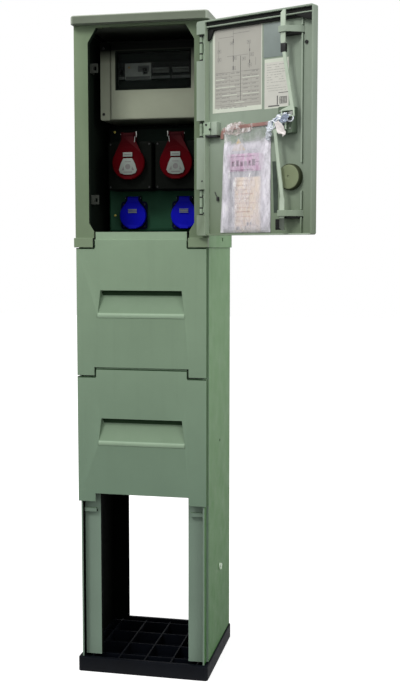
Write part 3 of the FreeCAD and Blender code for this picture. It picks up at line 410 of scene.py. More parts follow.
HERE = Matrix.Identity(4)
HINGE = (156.5, -165.0)
DOOR_ANGLE = math.radians(155.0)
DOOR_SKIN = -171.0
DOOR_RIM = -153.0
OPEN_DOOR_WAY = (-math.sin(DOOR_ANGLE), math.cos(DOOR_ANGLE), 0.0)
OPEN_STILE_WAY = (-math.cos(DOOR_ANGLE), -math.sin(DOOR_ANGLE), 0.0)
NODE_FACING = 0.9
INWARD_METRES = 0.004


def door_place() -> Matrix:
    """From the closed door's place, in metres, to where the door stands at rest."""
    hinge = Vector((*HINGE, 0.0)) * MM
    return Matrix.Translation(hinge) @ Matrix.Rotation(DOOR_ANGLE, 4, "Z") @ Matrix.Translation(-hinge)


DOOR = door_place()

# Painted shade: the body's green turns darker and bluer towards the bottom.
BODY_LOWER_SHADE = Fade(srgb(104, 126, 108), 0.35, 1.04)
# Painted shade: the socket tray turns near black towards its top, under the switch unit.
TRAY_TOP_SHADE = Fade(srgb(8, 15, 11), 1.335, 1.235)
# Painted shade: the side walls turn much darker towards the bottom.
SIDE_LOWER_SHADE = Fade(srgb(38, 86, 26), 0.0, 1.30)
GREEN = Finish("body_green", srgb(124, 145, 121), 0.55, specular=0.15, tone=0.06, tone_scale=4.0, streak=0.14,
               speck=0.10, grain=0.10, wave=0.05, scuff=0.10, edge=0.35, fade=BODY_LOWER_SHADE)
SIDE_GREEN = Finish("side_green", srgb(127, 162, 119), 0.55, specular=0.15, tone=0.07, tone_scale=3.0, streak=0.22,
                    speck=0.10, grain=0.10, wave=0.08, scuff=0.12, fade=SIDE_LOWER_SHADE)
ROOF_FRONT = Finish("roof_front", srgb(100, 108, 94), 0.6, specular=0.15, tone=0.08, tone_scale=9.0, streak=0.1,
                    speck=0.2, scuff=0.2, edge=0.5)
ROOF_GREEN = Finish("roof_green", srgb(148, 156, 143), 0.6, specular=0.15, tone=0.08, tone_scale=9.0, streak=0.1,
                    speck=0.2, scuff=0.2, edge=0.5)
# Painted shade: the door's green turns darker towards its foot.
DOOR_GREEN = Finish("door_green", srgb(138, 151, 136), 0.55, specular=0.15, tone=0.08, tone_scale=7.0, streak=0.16,
                    speck=0.12, grain=0.12, wave=0.06, scuff=0.15, edge=0.5,
                    fade=Fade(srgb(108, 122, 100), 1.12, 1.36))
FRAME_GREEN = Finish("frame_green", srgb(106, 122, 97), 0.5, specular=0.12, tone=0.08, tone_scale=6.0, streak=0.14,
                     speck=0.12, grain=0.12, scuff=0.12, edge=0.4)
# Painted shade: near black inward faces of the cabinet and pedestal, the cable floor and the mounting plate, for the
# shade inside.
INNER_SHADE = Finish("inner_green", srgb(24, 31, 25), 0.8, specular=0.05, tone=0.10, streak=0.1, speck=0.05, scuff=0.1)
PEDESTAL_INNER_SHADE = Finish("pedestal_inner", srgb(5, 7, 5), 0.8, specular=0.02, tone=0.14, tone_scale=7.0,
                        streak=0.2, speck=0.06, scuff=0.1)
# Its strong edge lightening is wear and painted highlight together.
BLACK_BASE = Finish("base_black", srgb(7, 10, 16), 0.6, specular=0.04, tone=0.3, tone_scale=14.0, speck=0.12,
                    grain=0.2, grain_scale=500.0, scuff=0.12, edge=0.9)
# Painted shadow: dark strips in the gaps between the front panels and in the top of the grips.
SEAM_SHADE = Finish("panel_edge_shade", srgb(42, 62, 42), 0.7, specular=0.03, tone=0.12, tone_scale=20.0)
EDGE_SHADE = Finish("panel_side_shade", srgb(68, 94, 64), 0.7, specular=0.05, tone=0.12, tone_scale=20.0)
# Painted light: a paler copy of the door's green for the hinge stile's inner wall, which its own rim shades.
STILE_PAINTED_LIGHT = Finish("stile_green", srgb(156, 171, 150), 0.55, specular=0.15, tone=0.08, tone_scale=7.0, streak=0.2,
                     speck=0.1, scuff=0.2)
# Painted shade: a darker green for the grip recess's upward floor.
GRIP_FLOOR_SHADE = Finish("grip_green", srgb(110, 131, 108), 0.55, specular=0.12, tone=0.06, tone_scale=6.0, streak=0.1,
                    grain=0.1)
# Painted highlight: a paler green for the bead under each grip.
GRIP_LIP_HIGHLIGHT = Finish("grip_lip_green", srgb(140, 162, 138), 0.5, specular=0.2, tone=0.06, tone_scale=12.0, scuff=0.2)
# Painted shade: near black round the window of the switch cover.
WINDOW_SHADE = Finish("window_fascia", srgb(16, 21, 17), 0.6, specular=0.04, tone=0.12, tone_scale=20.0)
# Painted shade: the lock case is darker than the door's green.
LOCK_GREEN = Finish("lock_green", srgb(92, 106, 90), 0.55, specular=0.12, tone=0.1, tone_scale=20.0, scuff=0.25,
                    edge=0.5)
# Painted shade: the boss's side wall, darker than its face.
BOSS_SIDE_SHADE = Finish("boss_side", srgb(58, 64, 46), 0.65, specular=0.08, tone=0.08, tone_scale=16.0, edge=0.2)
ZINC = Finish("zinc", srgb(150, 152, 148), 0.38, metallic=0.9, tone=0.16, tone_scale=60.0, grain=0.05)
STEEL = Finish("painted_hardware", srgb(132, 150, 128), 0.42, metallic=0.15, tone=0.1, tone_scale=20.0, scuff=0.25,
               edge=0.4)
ROD = Finish("rod_paint", srgb(176, 190, 172), 0.45, specular=0.2, tone=0.08, tone_scale=22.0, scuff=0.2, edge=0.3,
             fade=Fade(srgb(30, 34, 30), 1.163, 1.166))
BOSS = Finish("boss_olive", srgb(122, 132, 103), 0.6, specular=0.12, tone=0.08, tone_scale=16.0, speck=0.15,
              scuff=0.2, edge=0.4)
# Painted shade: the switch cover turns near black towards its top, under the roof.
DEVICE_GREY = Finish("device_grey", srgb(148, 154, 136), 0.5, specular=0.04, tone=0.06, tone_scale=8.0, grain=0.12,
                     grain_scale=1400.0, edge=0.1, fade=Fade(srgb(5, 7, 5), 1.606, 1.572))
DEVICE_DARK = Finish("breaker_body", srgb(22, 27, 24), 0.5, specular=0.15, tone=0.1, tone_scale=30.0, edge=0.3)
DEVICE_PALE = Finish("residual_body", srgb(172, 182, 172), 0.45, tone=0.1, tone_scale=30.0, edge=0.3)
# Painted shadow of the bag's edge on the door.
SHADE_STRIP = Finish("edge_strip_rubber", srgb(66, 76, 68), 0.65, specular=0.08, tone=0.3, tone_scale=26.0)
WHITE_PLUG = Finish("plug_pale", srgb(206, 222, 202), 0.4, specular=0.3, tone=0.06, tone_scale=40.0)
# Dark plastic; it also paints a bar of shadow under the hinge strap.
DARK = Finish("dark_plastic", srgb(24, 25, 25), 0.42, specular=0.3, tone=0.15, tone_scale=30.0, grain=0.12)
LEVER = Finish("lever_black", srgb(18, 18, 20), 0.25, tone=0.1, tone_scale=40.0)
LEVER_GREY = Finish("lever_grey", srgb(150, 158, 150), 0.35, tone=0.1, tone_scale=40.0)
# Painted shade: the lids' red is darkened and turns darker still towards the top, inside the cabinet.
RED = Finish("socket_red", srgb(70, 1, 7), 0.5, specular=0.02, tone=0.1, tone_scale=20.0, edge=0.1,
             fade=Fade(srgb(34, 2, 5), 1.385, 1.325))
BLUE = Finish("socket_blue", srgb(10, 13, 178), 0.5, specular=0.06, tone=0.1, tone_scale=20.0, edge=0.15)
RED_SHADE = Finish("socket_red_collar", srgb(34, 2, 5), 0.55, specular=0.03, tone=0.12, tone_scale=25.0)
BLUE_SHADE = Finish("socket_blue_flange", srgb(6, 9, 46), 0.55, specular=0.05, tone=0.12, tone_scale=25.0)
BRACKET = Finish("bracket_zinc", srgb(92, 96, 88), 0.5, metallic=0.3, tone=0.2, tone_scale=60.0, scuff=0.3)
SOCKET_BOX = Finish("socket_box", srgb(7, 10, 7), 0.6, specular=0.04, tone=0.12, tone_scale=25.0, edge=0.8)
TRAY = Finish("tray_green", srgb(34, 72, 52), 0.6, specular=0.06, tone=0.14, tone_scale=10.0, speck=0.1,
              scuff=0.15, edge=0.4, fade=TRAY_TOP_SHADE)
# Dark rubber of the gasket and vent plug; it also paints shadows in the door's top channel and under the rod guides.
RUBBER_AND_PAINTED_SHADE = Finish("gasket_rubber", srgb(17, 19, 17), 0.65, specular=0.2, tone=0.2, tone_scale=50.0)
WHITE_PAPER = Finish("label_paper_white", srgb(198, 198, 190), 0.6, specular=0.2, tone=0.04, tone_scale=14.0,
                     grain=0.15, wave=0.05)
PAPER = Finish("label_paper", srgb(168, 167, 159), 0.6, specular=0.15, tone=0.04, tone_scale=14.0, grain=0.15,
               wave=0.05)
LEG_GREEN = Finish("leg_green", srgb(100, 118, 104), 0.6, specular=0.12, tone=0.08, tone_scale=7.0, streak=0.25,
                   speck=0.1, scuff=0.2, edge=0.4)
MARGIN = Finish("label_margin", srgb(200, 206, 192), 0.5, specular=0.3, tone=0.04, tone_scale=20.0)
INK = Finish("label_ink", srgb(136, 136, 131), 0.6, tone=0.12, tone_scale=90.0)
INK_SOFT = Finish("ink_soft_brown", srgb(190, 160, 142), 0.6, tone=0.25, tone_scale=70.0)
INK_DARK = Finish("label_ink_dark", srgb(92, 92, 90), 0.6, tone=0.15, tone_scale=90.0)
SLEEVE = Finish("label_sleeve", srgb(122, 134, 130), 0.45, tone=0.06, tone_scale=20.0, coat=0.2)
BACKING = Finish("bag_backing_sheet", srgb(176, 178, 182), 0.5, specular=0.2, tone=0.12, tone_scale=34.0)
CREAM = Finish("paper_cream", srgb(228, 214, 198), 0.6, specular=0.2, tone=0.06, tone_scale=30.0)
PINK = Finish("card_pink", srgb(206, 164, 194), 0.5, specular=0.2, tone=0.10, tone_scale=26.0)
PLUM = Finish("ink_plum", srgb(92, 28, 74), 0.5, tone=0.1, tone_scale=60.0)
ORANGE = Finish("card_orange", srgb(190, 164, 104), 0.5, tone=0.08, tone_scale=30.0)
BROWN = Finish("header_brown", srgb(140, 104, 96), 0.4, tone=0.2, tone_scale=40.0)
STICKER = Finish("sticker_white", srgb(122, 130, 124), 0.5, specular=0.1, tone=0.05, tone_scale=40.0)
TIE = Finish("tie_white", srgb(222, 228, 236), 0.3, tone=0.10, tone_scale=90.0, coat=0.3)
TIE_BLUE = Finish("tie_blue", srgb(128, 140, 160), 0.3, tone=0.25, tone_scale=120.0, coat=0.3)
TAG = Finish("tag_pale", srgb(222, 216, 214), 0.45, tone=0.08, tone_scale=80.0)
BRASS = Finish("key_brass", srgb(196, 182, 96), 0.3, metallic=0.8, tone=0.1, tone_scale=60.0)
CRUMPLE = Finish("crumpled_film", (0.8, 0.8, 0.82))
FILM = Finish("bag_film", (0.7, 0.7, 0.72))
SMOKED = Finish("smoked_window", (0.05, 0.05, 0.05))


@dataclass(frozen=True)
class Zone:
    """A finish for faces whose centre lies in a box in millimetres and that look one way, if a way is given."""

    finish: Finish
    low: Point
    high: Point
    facing: Optional[Point] = None

    def holds(self, normal: Vector, centre: Vector) -> bool:
        """Whether a face belongs to the zone.

        Args:
            normal: Where the face looks.
            centre: Its centre in metres.

        Returns:
            True for a face of the zone.
        """
        spot = centre / MM
        inside = all(low <= value <= high for low, value, high in zip(self.low, spot, self.high))
        return inside and (self.facing is None or normal.dot(Vector(self.facing)) > NODE_FACING)


@dataclass(frozen=True)
class Dress:
    """How a CAD node is finished: its outside, its rounded edges in millimetres, its inward faces in painted shade,
    and its front faces.
    """

    outside: Finish
    width: float = 0.4
    inside: Optional[Finish] = None
    front: Optional[Finish] = None
    zones: tuple[Zone, ...] = ()

    def plain(self) -> bool:
        """Whether one finish covers the whole node."""
        return not (self.inside or self.front or self.zones)

    def surfaces(self) -> list[Finish]:
        """The finishes in the order of the mesh's material slots.

        Returns:
            One finish for each slot.
        """
        if self.plain():
            return [self.outside]
        sides = [self.outside, self.inside or self.outside, self.front or self.outside]
        return sides + [zone.finish for zone in self.zones]

    def pick(self, normal: Vector, centre: Vector) -> int:
        """The slot of a face, from where it looks and lies.

        Args:
            normal: Where the face looks.
            centre: Its centre in metres.

        Returns:
            The slot's index.
        """
        if self.plain():
            return 0
        for index, zone in enumerate(self.zones):
            if zone.holds(normal, centre):
                return index + 3
        # Inward faces take the inside finish, a painted shade.
        if normal.x * centre.x + normal.y * centre.y < -INWARD_METRES:
            return 1
        return 2 if normal.y < -NODE_FACING else 0


@dataclass(frozen=True)
class PanelLook:
    """Where the painted shade on a front panel's edges and grip and the painted highlight on its bead lie, in
    millimetres.
    """

    half: float = 168.0
    edge: float = 8.0
    skin: float = -161.0
    back: float = -130.0
    top: float = 2000.0
    grip_rise: float = 137.0
    grip_half: float = 113.0
    grip_height: float = 58.0
    grip_floor: float = -144.5
    lip_half: float = 120.0
    lip_front: float = -163.5
    lip_reach: float = 20.0

    def zones(self, foot: float) -> tuple[Zone, ...]:
        """Painted shade on the edges and grip and a painted highlight on the bead of the panel whose foot is at a
        height.

        Args:
            foot: The height of the panel's foot, in millimetres.

        Returns:
            The panel's zones.
        """
        grip, inner, ceiling = foot + self.grip_rise, self.half - self.edge, self.grip_half - 1
        return (Zone(EDGE_SHADE, (inner, self.skin, 0), (self.half, self.back, self.top), (1, 0, 0)),
                Zone(EDGE_SHADE, (-self.half, self.skin, 0), (-inner, self.back, self.top), (-1, 0, 0)),
                Zone(SEAM_SHADE, (-ceiling, -150, grip + 45), (ceiling, -140, grip + 62), (0, -1, 0)),
                Zone(SEAM_SHADE, (-ceiling, self.skin, grip + 55), (ceiling, -143, grip + 62), (0, 0, -1)),
                Zone(GRIP_FLOOR_SHADE, (-self.grip_half, -159, grip + 4),
                     (self.grip_half, self.grip_floor, grip + self.grip_height)),
                Zone(GRIP_LIP_HIGHLIGHT, (-self.lip_half, self.lip_front, grip - self.lip_reach),
                     (self.lip_half, -160.3, grip + 6)))


PANEL_FEET = {"front_panel_lower": 470.0, "front_panel_upper": 795.0}

NODE_DRESS: dict[str, Dress] = {
    "base_plate": Dress(BLACK_BASE, 1.0),
    "left_side_wall": Dress(SIDE_GREEN, 1.0, PEDESTAL_INNER_SHADE, LEG_GREEN),
    "right_side_wall": Dress(SIDE_GREEN, 1.0, PEDESTAL_INNER_SHADE, LEG_GREEN),
    "rear_panel": Dress(GREEN, 0.8, PEDESTAL_INNER_SHADE),
    "cable_rail": Dress(ZINC),
    "housing_left_wall": Dress(SIDE_GREEN, 1.0, INNER_SHADE),
    "housing_right_wall": Dress(SIDE_GREEN, 1.0, INNER_SHADE),
    "housing_rear_wall": Dress(GREEN, 0.8, INNER_SHADE),
    "door_frame": Dress(FRAME_GREEN, 0.8, INNER_SHADE),
    "roof_cap": Dress(ROOF_GREEN, 0.6, INNER_SHADE, ROOF_FRONT),
    "cable_floor": Dress(INNER_SHADE),
    "mounting_plate": Dress(INNER_SHADE),
    "wall_brackets": Dress(BRACKET),
    "device_box": Dress(DEVICE_GREY, 0.5, INNER_SHADE),
    "device_cover": Dress(DEVICE_GREY, 0.6, zones=(Zone(WINDOW_SHADE, (-108, -28.5, 1500), (108, 20, 1604)),)),
    "din_rail": Dress(ZINC, 0.0),
    "single_pole_breaker": Dress(DEVICE_DARK),
    "residual_current_device": Dress(DEVICE_PALE),
    "three_pole_breaker_left": Dress(DEVICE_DARK),
    "three_pole_breaker_right": Dress(DEVICE_DARK),
    "single_pole_breaker_lever": Dress(LEVER, 0.3),
    "residual_current_device_lever": Dress(LEVER, 0.3),
    "three_pole_breaker_left_lever": Dress(LEVER_GREY, 0.3),
    "three_pole_breaker_right_lever": Dress(LEVER_GREY, 0.3),
    "test_button": Dress(ORANGE, 0.3),
    "socket_tray": Dress(TRAY),
    "red_socket_box_left": Dress(SOCKET_BOX),
    "red_socket_box_right": Dress(SOCKET_BOX),
    "red_socket_collar_left": Dress(RED_SHADE, 0.5),
    "red_socket_collar_right": Dress(RED_SHADE, 0.5),
    "red_inserts": Dress(DARK),
    "red_lid_left": Dress(RED, 0.6),
    "red_lid_right": Dress(RED, 0.6),
    "blue_socket_flange_left": Dress(BLUE_SHADE, 0.5),
    "blue_socket_flange_right": Dress(BLUE_SHADE, 0.5),
    "blue_inserts": Dress(DARK),
    "blue_lid_left": Dress(BLUE, 0.6),
    "blue_lid_right": Dress(BLUE, 0.6),
    "lid_pins": Dress(ZINC, 0.0),
    "frame_hinge_leaves": Dress(STEEL),
    "door_hinge_leaves": Dress(STEEL),
    "hinge_pins": Dress(ZINC),
    # The hinge stile's inner wall takes the painted light.
    "door_panel": Dress(DOOR_GREEN, 0.8, zones=(
        Zone(STILE_PAINTED_LIGHT, (163, -186, 0), (184, -158, 2000), OPEN_STILE_WAY),)),
    "lock_case": Dress(LOCK_GREEN, 0.6),
    "lock_cam": Dress(ZINC),
    "upper_rod": Dress(ROD, 0.5),
    "lower_rod": Dress(ROD, 0.5),
    "rod_guides": Dress(DOOR_GREEN, 0.8),
    "door_boss": Dress(BOSS_SIDE_SHADE, 0.8, zones=(Zone(BOSS, (0, -400, 0), (600, 0, 2000), OPEN_DOOR_WAY),)),
    "handle_escutcheon": Dress(DARK, 0.6),
    "swing_handle": Dress(DARK, 0.6),
    "circuit_sheet": Dress(PAPER, 0.0),
    "rating_sheet": Dress(WHITE_PAPER, 0.0),
    **{panel: Dress(GREEN, 0.5, zones=PanelLook().zones(foot)) for panel, foot in PANEL_FEET.items()},
    "window_flap": Dress(SMOKED, 0.3),
}

palette = Palette()


def node_body(node: str) -> str:
    """The moving body a CAD node belongs to.

    Args:
        node: The node's name.

    Returns:
        The body's name.
    """
    for name, members in frame["record"]["behaviour"]["bodies"].items():
        if node in members:
            return name
    raise KeyError(node)


def node_box(node: str) -> tuple[Vector, Vector]:
    """The lowest and highest corners of a CAD node at rest, in millimetres."""
    low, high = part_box(node)
    return Vector(low) / MM, Vector(high) / MM


def text(value: object) -> str:
    """The plain word of a named option."""
    return str(value.value) if isinstance(value, Enum) else str(value)


def link_mesh(name: str, mesh: bpy.types.Mesh, finish: Finish, body: object) -> bpy.types.Object:
    """Put a mesh in the scene with its material and let it ride on a body.

    Args:
        name: The piece's name.
        mesh: The mesh, in metres in the row frame.
        finish: The surface.
        body: The moving body it rides on.

    Returns:
        The new object.
    """
    piece = bpy.data.objects.new(name, mesh)
    bpy.context.scene.collection.objects.link(piece)
    mesh.materials.clear()
    mesh.materials.append(palette.get(finish))
    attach(piece, text(body))
    return piece


CRISP_ANGLE = math.radians(32.0)
ROUNDED_ANGLE = math.radians(40.0)
COPLANAR_ANGLE = math.radians(0.6)
FLAT_ANGLE = 0.01
MERGE_METRES = 2e-6


def smooth(mesh: bpy.types.Mesh) -> None:
    """Shade smooth, with sharper edges kept crisp."""
    mesh.shade_smooth()
    mesh.set_sharp_from_angle(angle=CRISP_ANGLE)


def dress_node(node: str, dress: Dress) -> bpy.types.Object:
    """Give a CAD node small rounded edges and its finishes, with curved faces smooth and flat ones flat.

    Args:
        node: The CAD node.
        dress: Its surfaces and edge radius.

    Returns:
        The piece that stands for the node.
    """
    mesh = bpy.data.meshes.new(node + "_finished")
    shape = bmesh.new()
    shape.from_mesh(frame["nodes"][node].data)
    bmesh.ops.remove_doubles(shape, verts=shape.verts, dist=MERGE_METRES)
    bmesh.ops.dissolve_limit(shape, angle_limit=COPLANAR_ANGLE, verts=shape.verts, edges=shape.edges)
    for face in shape.faces:
        face.material_index = dress.pick(face.normal, face.calc_center_median())
        face.smooth = any(FLAT_ANGLE < edge.calc_face_angle(0.0) < CRISP_ANGLE for edge in face.edges)
    shape.to_mesh(mesh)
    shape.free()
    looks = [(polygon.material_index, polygon.use_smooth) for polygon in mesh.polygons]
    smooth(mesh)
    piece = link_mesh(node + "_finished", mesh, dress.outside, node_body(node))
    for finish in dress.surfaces()[1:]:
        mesh.materials.append(palette.get(finish))
    for polygon, (slot, curved) in zip(mesh.polygons, looks):
        polygon.material_index, polygon.use_smooth = slot, curved
    if dress.width > 0:
        bevel = piece.modifiers.new("rounded_edges", "BEVEL")
        bevel.width = dress.width * MM
        bevel.segments = 2
        bevel.limit_method = "ANGLE"
        bevel.angle_limit = ROUNDED_ANGLE
        bevel.use_clamp_overlap = True
    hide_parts(node)
    return piece


class Form:
    """Collects simple forms, in millimetres in a local frame, into one mesh."""

    SHARP = 0.6
    SIDES = 40
    SCREW_SIDES = 24
    CROSS_WAIST = 0.4

    def __init__(self, place: Matrix) -> None:
        """Start empty; the place takes the local frame to the row frame, in metres."""
        self.place = place
        self.shape = bmesh.new()

    def keep(self, part: bmesh.types.BMesh, bevel: float = 0.0) -> None:
        """Bevel a form's sharp edges and add it.

        Args:
            part: The form, which is freed.
            bevel: The radius on its sharp edges.
        """
        if bevel > 0:
            edges = [edge for edge in part.edges if len(edge.link_faces) == 2 and edge.calc_face_angle() > self.SHARP]
            bmesh.ops.bevel(part, geom=edges, offset=bevel, offset_type="OFFSET", segments=2, profile=0.5,
                            affect="EDGES", clamp_overlap=True, material=-1)
        mesh = bpy.data.meshes.new("part")
        part.to_mesh(mesh)
        part.free()
        self.shape.from_mesh(mesh)
        bpy.data.meshes.remove(mesh)

    def block(self, low: Point, high: Point, bevel: float = 0.4) -> None:
        """An upright box between two corners.

        Args:
            low: The lowest corner.
            high: The highest corner.
            bevel: The radius on its edges.
        """
        part = bmesh.new()
        bmesh.ops.create_cube(part, size=1.0)
        low, high = Vector(low), Vector(high)
        bmesh.ops.scale(part, vec=high - low, verts=part.verts)
        bmesh.ops.translate(part, vec=(low + high) / 2, verts=part.verts)
        self.keep(part, bevel)

    def round(self, centre: Point, axis: Axis, radius: float, length: float, bevel: float = 0.0) -> None:
        """A cylinder that starts at a point and runs along an axis, backwards for a negative length.

        Args:
            centre: The middle of the cylinder's first end.
            axis: The direction it runs along.
            radius: Its radius.
            length: Its length.
            bevel: The radius on its edges.
        """
        part = bmesh.new()
        bmesh.ops.create_cone(part, cap_ends=True, segments=self.SIDES, radius1=radius, radius2=radius,
                              depth=abs(length))
        bmesh.ops.translate(part, vec=(0, 0, abs(length) / 2), verts=part.verts)
        self.aim(part, centre, axis, length)
        self.keep(part, bevel)

    def aim(self, part: bmesh.types.BMesh, centre: Point, axis: Axis, way: float) -> None:
        """Turn a form that stands on the origin so that it points along an axis from a centre.

        Args:
            part: The form.
            centre: Where its foot comes to lie.
            axis: The axis it points along.
            way: Above 0 along the axis, otherwise against it.
        """
        out = Vector((0, 0, 0))
        out[axis.value] = 1 if way > 0 else -1
        part.transform(Matrix.Translation(Vector(centre)) @ out.to_track_quat("Z", "Y").to_matrix().to_4x4())

    def prism(self, outline: Iterable[Point], axis: Axis, start: float, end: float, bevel: float = 0.3) -> None:
        """A closed outline pushed along an axis.

        Args:
            outline: Corners on the two other axes, in X, Y, Z order.
            axis: The direction of the push.
            start: Where it begins.
            end: Where it stops.
            bevel: The radius on its sharp edges.
        """
        part = bmesh.new()
        others = [i for i in range(3) if i != axis.value]
        ring = []
        for first, second in outline:
            spot = Vector((0, 0, 0))
            spot[others[0]], spot[others[1]], spot[axis.value] = first, second, start
            ring.append(part.verts.new(spot))
        face = part.faces.new(ring)
        grown = bmesh.ops.extrude_face_region(part, geom=[face])
        shift = Vector((0, 0, 0))
        shift[axis.value] = end - start
        top = [item for item in grown["geom"] if isinstance(item, bmesh.types.BMVert)]
        bmesh.ops.translate(part, vec=shift, verts=top)
        bmesh.ops.recalc_face_normals(part, faces=part.faces)
        self.keep(part, bevel)

    def wire(self, path: Sequence[Point], radius: float, closed: bool = False, ribbon: float = 0.0) -> None:
        """A round wire, or a ribbon with rounded edges, along a smooth line near the points of a path.

        Args:
            path: The points.
            radius: The wire's radius, or the rounding of a ribbon's edges.
            closed: Whether the line runs back to its start.
            ribbon: Half of a ribbon's width.
        """
        curve = bpy.data.curves.new("path", "CURVE")
        curve.dimensions = "3D"
        curve.bevel_depth = radius
        curve.bevel_resolution = 3
        curve.extrude = ribbon
        curve.use_fill_caps = not closed
        line = curve.splines.new("NURBS")
        line.points.add(len(path) - 1)
        for point, spot in zip(line.points, path):
            point.co = (*spot, 1.0)
        line.order_u = 3
        line.use_endpoint_u = not closed
        line.use_cyclic_u = closed
        line.resolution_u = 6
        holder = bpy.data.objects.new("path", curve)
        mesh = bpy.data.meshes.new_from_object(holder)
        part = bmesh.new()
        part.from_mesh(mesh)
        bmesh.ops.remove_doubles(part, verts=part.verts, dist=1e-4)
        bmesh.ops.recalc_face_normals(part, faces=part.faces)
        bpy.data.objects.remove(holder)
        bpy.data.curves.remove(curve)
        bpy.data.meshes.remove(mesh)
        self.keep(part)

    def screw(self, centre: Point, axis: Axis, radius: float, height: float) -> None:
        """A domed screw head with a cross recess, standing out of a surface along an axis.

        Args:
            centre: Where the head meets the surface.
            axis: The direction it stands out along.
            radius: Its radius at the surface.
            height: Its height, below 0 against the axis.
        """
        part = bmesh.new()
        tall = abs(height)
        bmesh.ops.create_cone(part, cap_ends=True, segments=self.SCREW_SIDES, radius1=radius, radius2=radius * 0.86,
                              depth=tall)
        bmesh.ops.translate(part, vec=(0, 0, tall / 2), verts=part.verts)
        top = max(part.faces, key=lambda face: face.calc_center_median().z)
        for inset, rise in ((0.3, 0.12), (0.12, -0.5)):
            bmesh.ops.inset_region(part, faces=[top], thickness=radius * inset)
            bmesh.ops.translate(part, vec=(0, 0, rise * tall), verts=top.verts)
        for index, vertex in enumerate(top.verts):
            if index % 6 not in (0, 1, 5):
                vertex.co.x *= self.CROSS_WAIST
                vertex.co.y *= self.CROSS_WAIST
        self.aim(part, centre, axis, height)
        self.keep(part)

    def finish(self, name: str, finish: Finish, body: object, slot: object) -> bpy.types.Object:
        """Turn the collected forms into a piece.

        Args:
            name: The piece's name.
            finish: Its surface.
            body: The body it rides on.
            slot: The record's material slot; not used.

        Returns:
            The new piece.
        """
        self.shape.transform(self.place @ Matrix.Scale(MM, 4))
        mesh = bpy.data.meshes.new(name)
        self.shape.to_mesh(mesh)
        self.shape.free()
        smooth(mesh)
        return link_mesh(name, mesh, finish, body)


class PrintedSheet:
    """Ink bars and lines on a printed sheet inside the door."""

    THICKNESS = 0.4
    WORD = (0.03, 0.12)
    SPACE = (0.008, 0.03)
    WRITTEN = 0.82

    def __init__(self, left: float, right: float, low: float, high: float, ink: float = 0.1) -> None:
        """Start a sheet's print.

        Args:
            left: The sheet's edge with the smaller x, on the closed door.
            right: The other edge.
            low: Its bottom.
            high: Its top.
            ink: The ink's thickness.
        """
        self.left, self.right, self.low, self.high = left, right, low, high
        self.front = DOOR_SKIN + self.THICKNESS
        self.ink = ink
        self.form = Form(DOOR)

    def bar(self, across: float, up: float, width: float, height: float) -> None:
        """One ink bar, from shares of the sheet's width and height measured from its left foot as seen open.

        Args:
            across: Where it starts.
            up: Where its foot is.
            width: Its width.
            height: Its height.
        """
        wide, tall = self.right - self.left, self.high - self.low
        start = self.right - across * wide
        foot = self.low + up * tall
        self.form.block((start - width * wide, self.front, foot),
                        (start, self.front + self.ink, foot + height * tall), 0.0)

    def box(self, across: float, up: float, width: float, height: float, line: float) -> None:
        """A rectangle drawn with four thin bars.

        Args:
            across: Where it starts.
            up: Where its foot is.
            width: Its width.
            height: Its height.
            line: A bar's thickness as a share of the width.
        """
        tall = (self.high - self.low) / (self.right - self.left)
        self.bar(across, up, width, line / tall)
        self.bar(across, up + height - line / tall, width, line / tall)
        self.bar(across, up + line / tall, line, height - 2 * line / tall)
        self.bar(across + width - line, up + line / tall, line, height - 2 * line / tall)

    def rows(self, across: float, low: float, width: float, high: float, count: int, thick: float,
             seed: int) -> None:
        """Rows of short bars in place of small print.

        Args:
            across: Where they start.
            low: The foot of the lowest row.
            width: The rows' width.
            high: The top of the highest row.
            count: The number of rows.
            thick: A bar's height.
            seed: The seed of the random lengths.
        """
        pick = random.Random(seed)
        for row in range(count):
            up = high - (row + 0.5) * (high - low) / count
            start = across
            while start < across + width - 0.02:
                length = min(pick.uniform(*self.WORD), across + width - start)
                if pick.random() < self.WRITTEN:
                    self.bar(start, up, length, thick)
                start += length + pick.uniform(*self.SPACE)

    def finish(self, name: str, finish: Finish) -> bpy.types.Object:
        """Turn the marks into a piece on the door."""
        return self.form.finish(name, finish, Body.DOOR, Slot.PAPER)


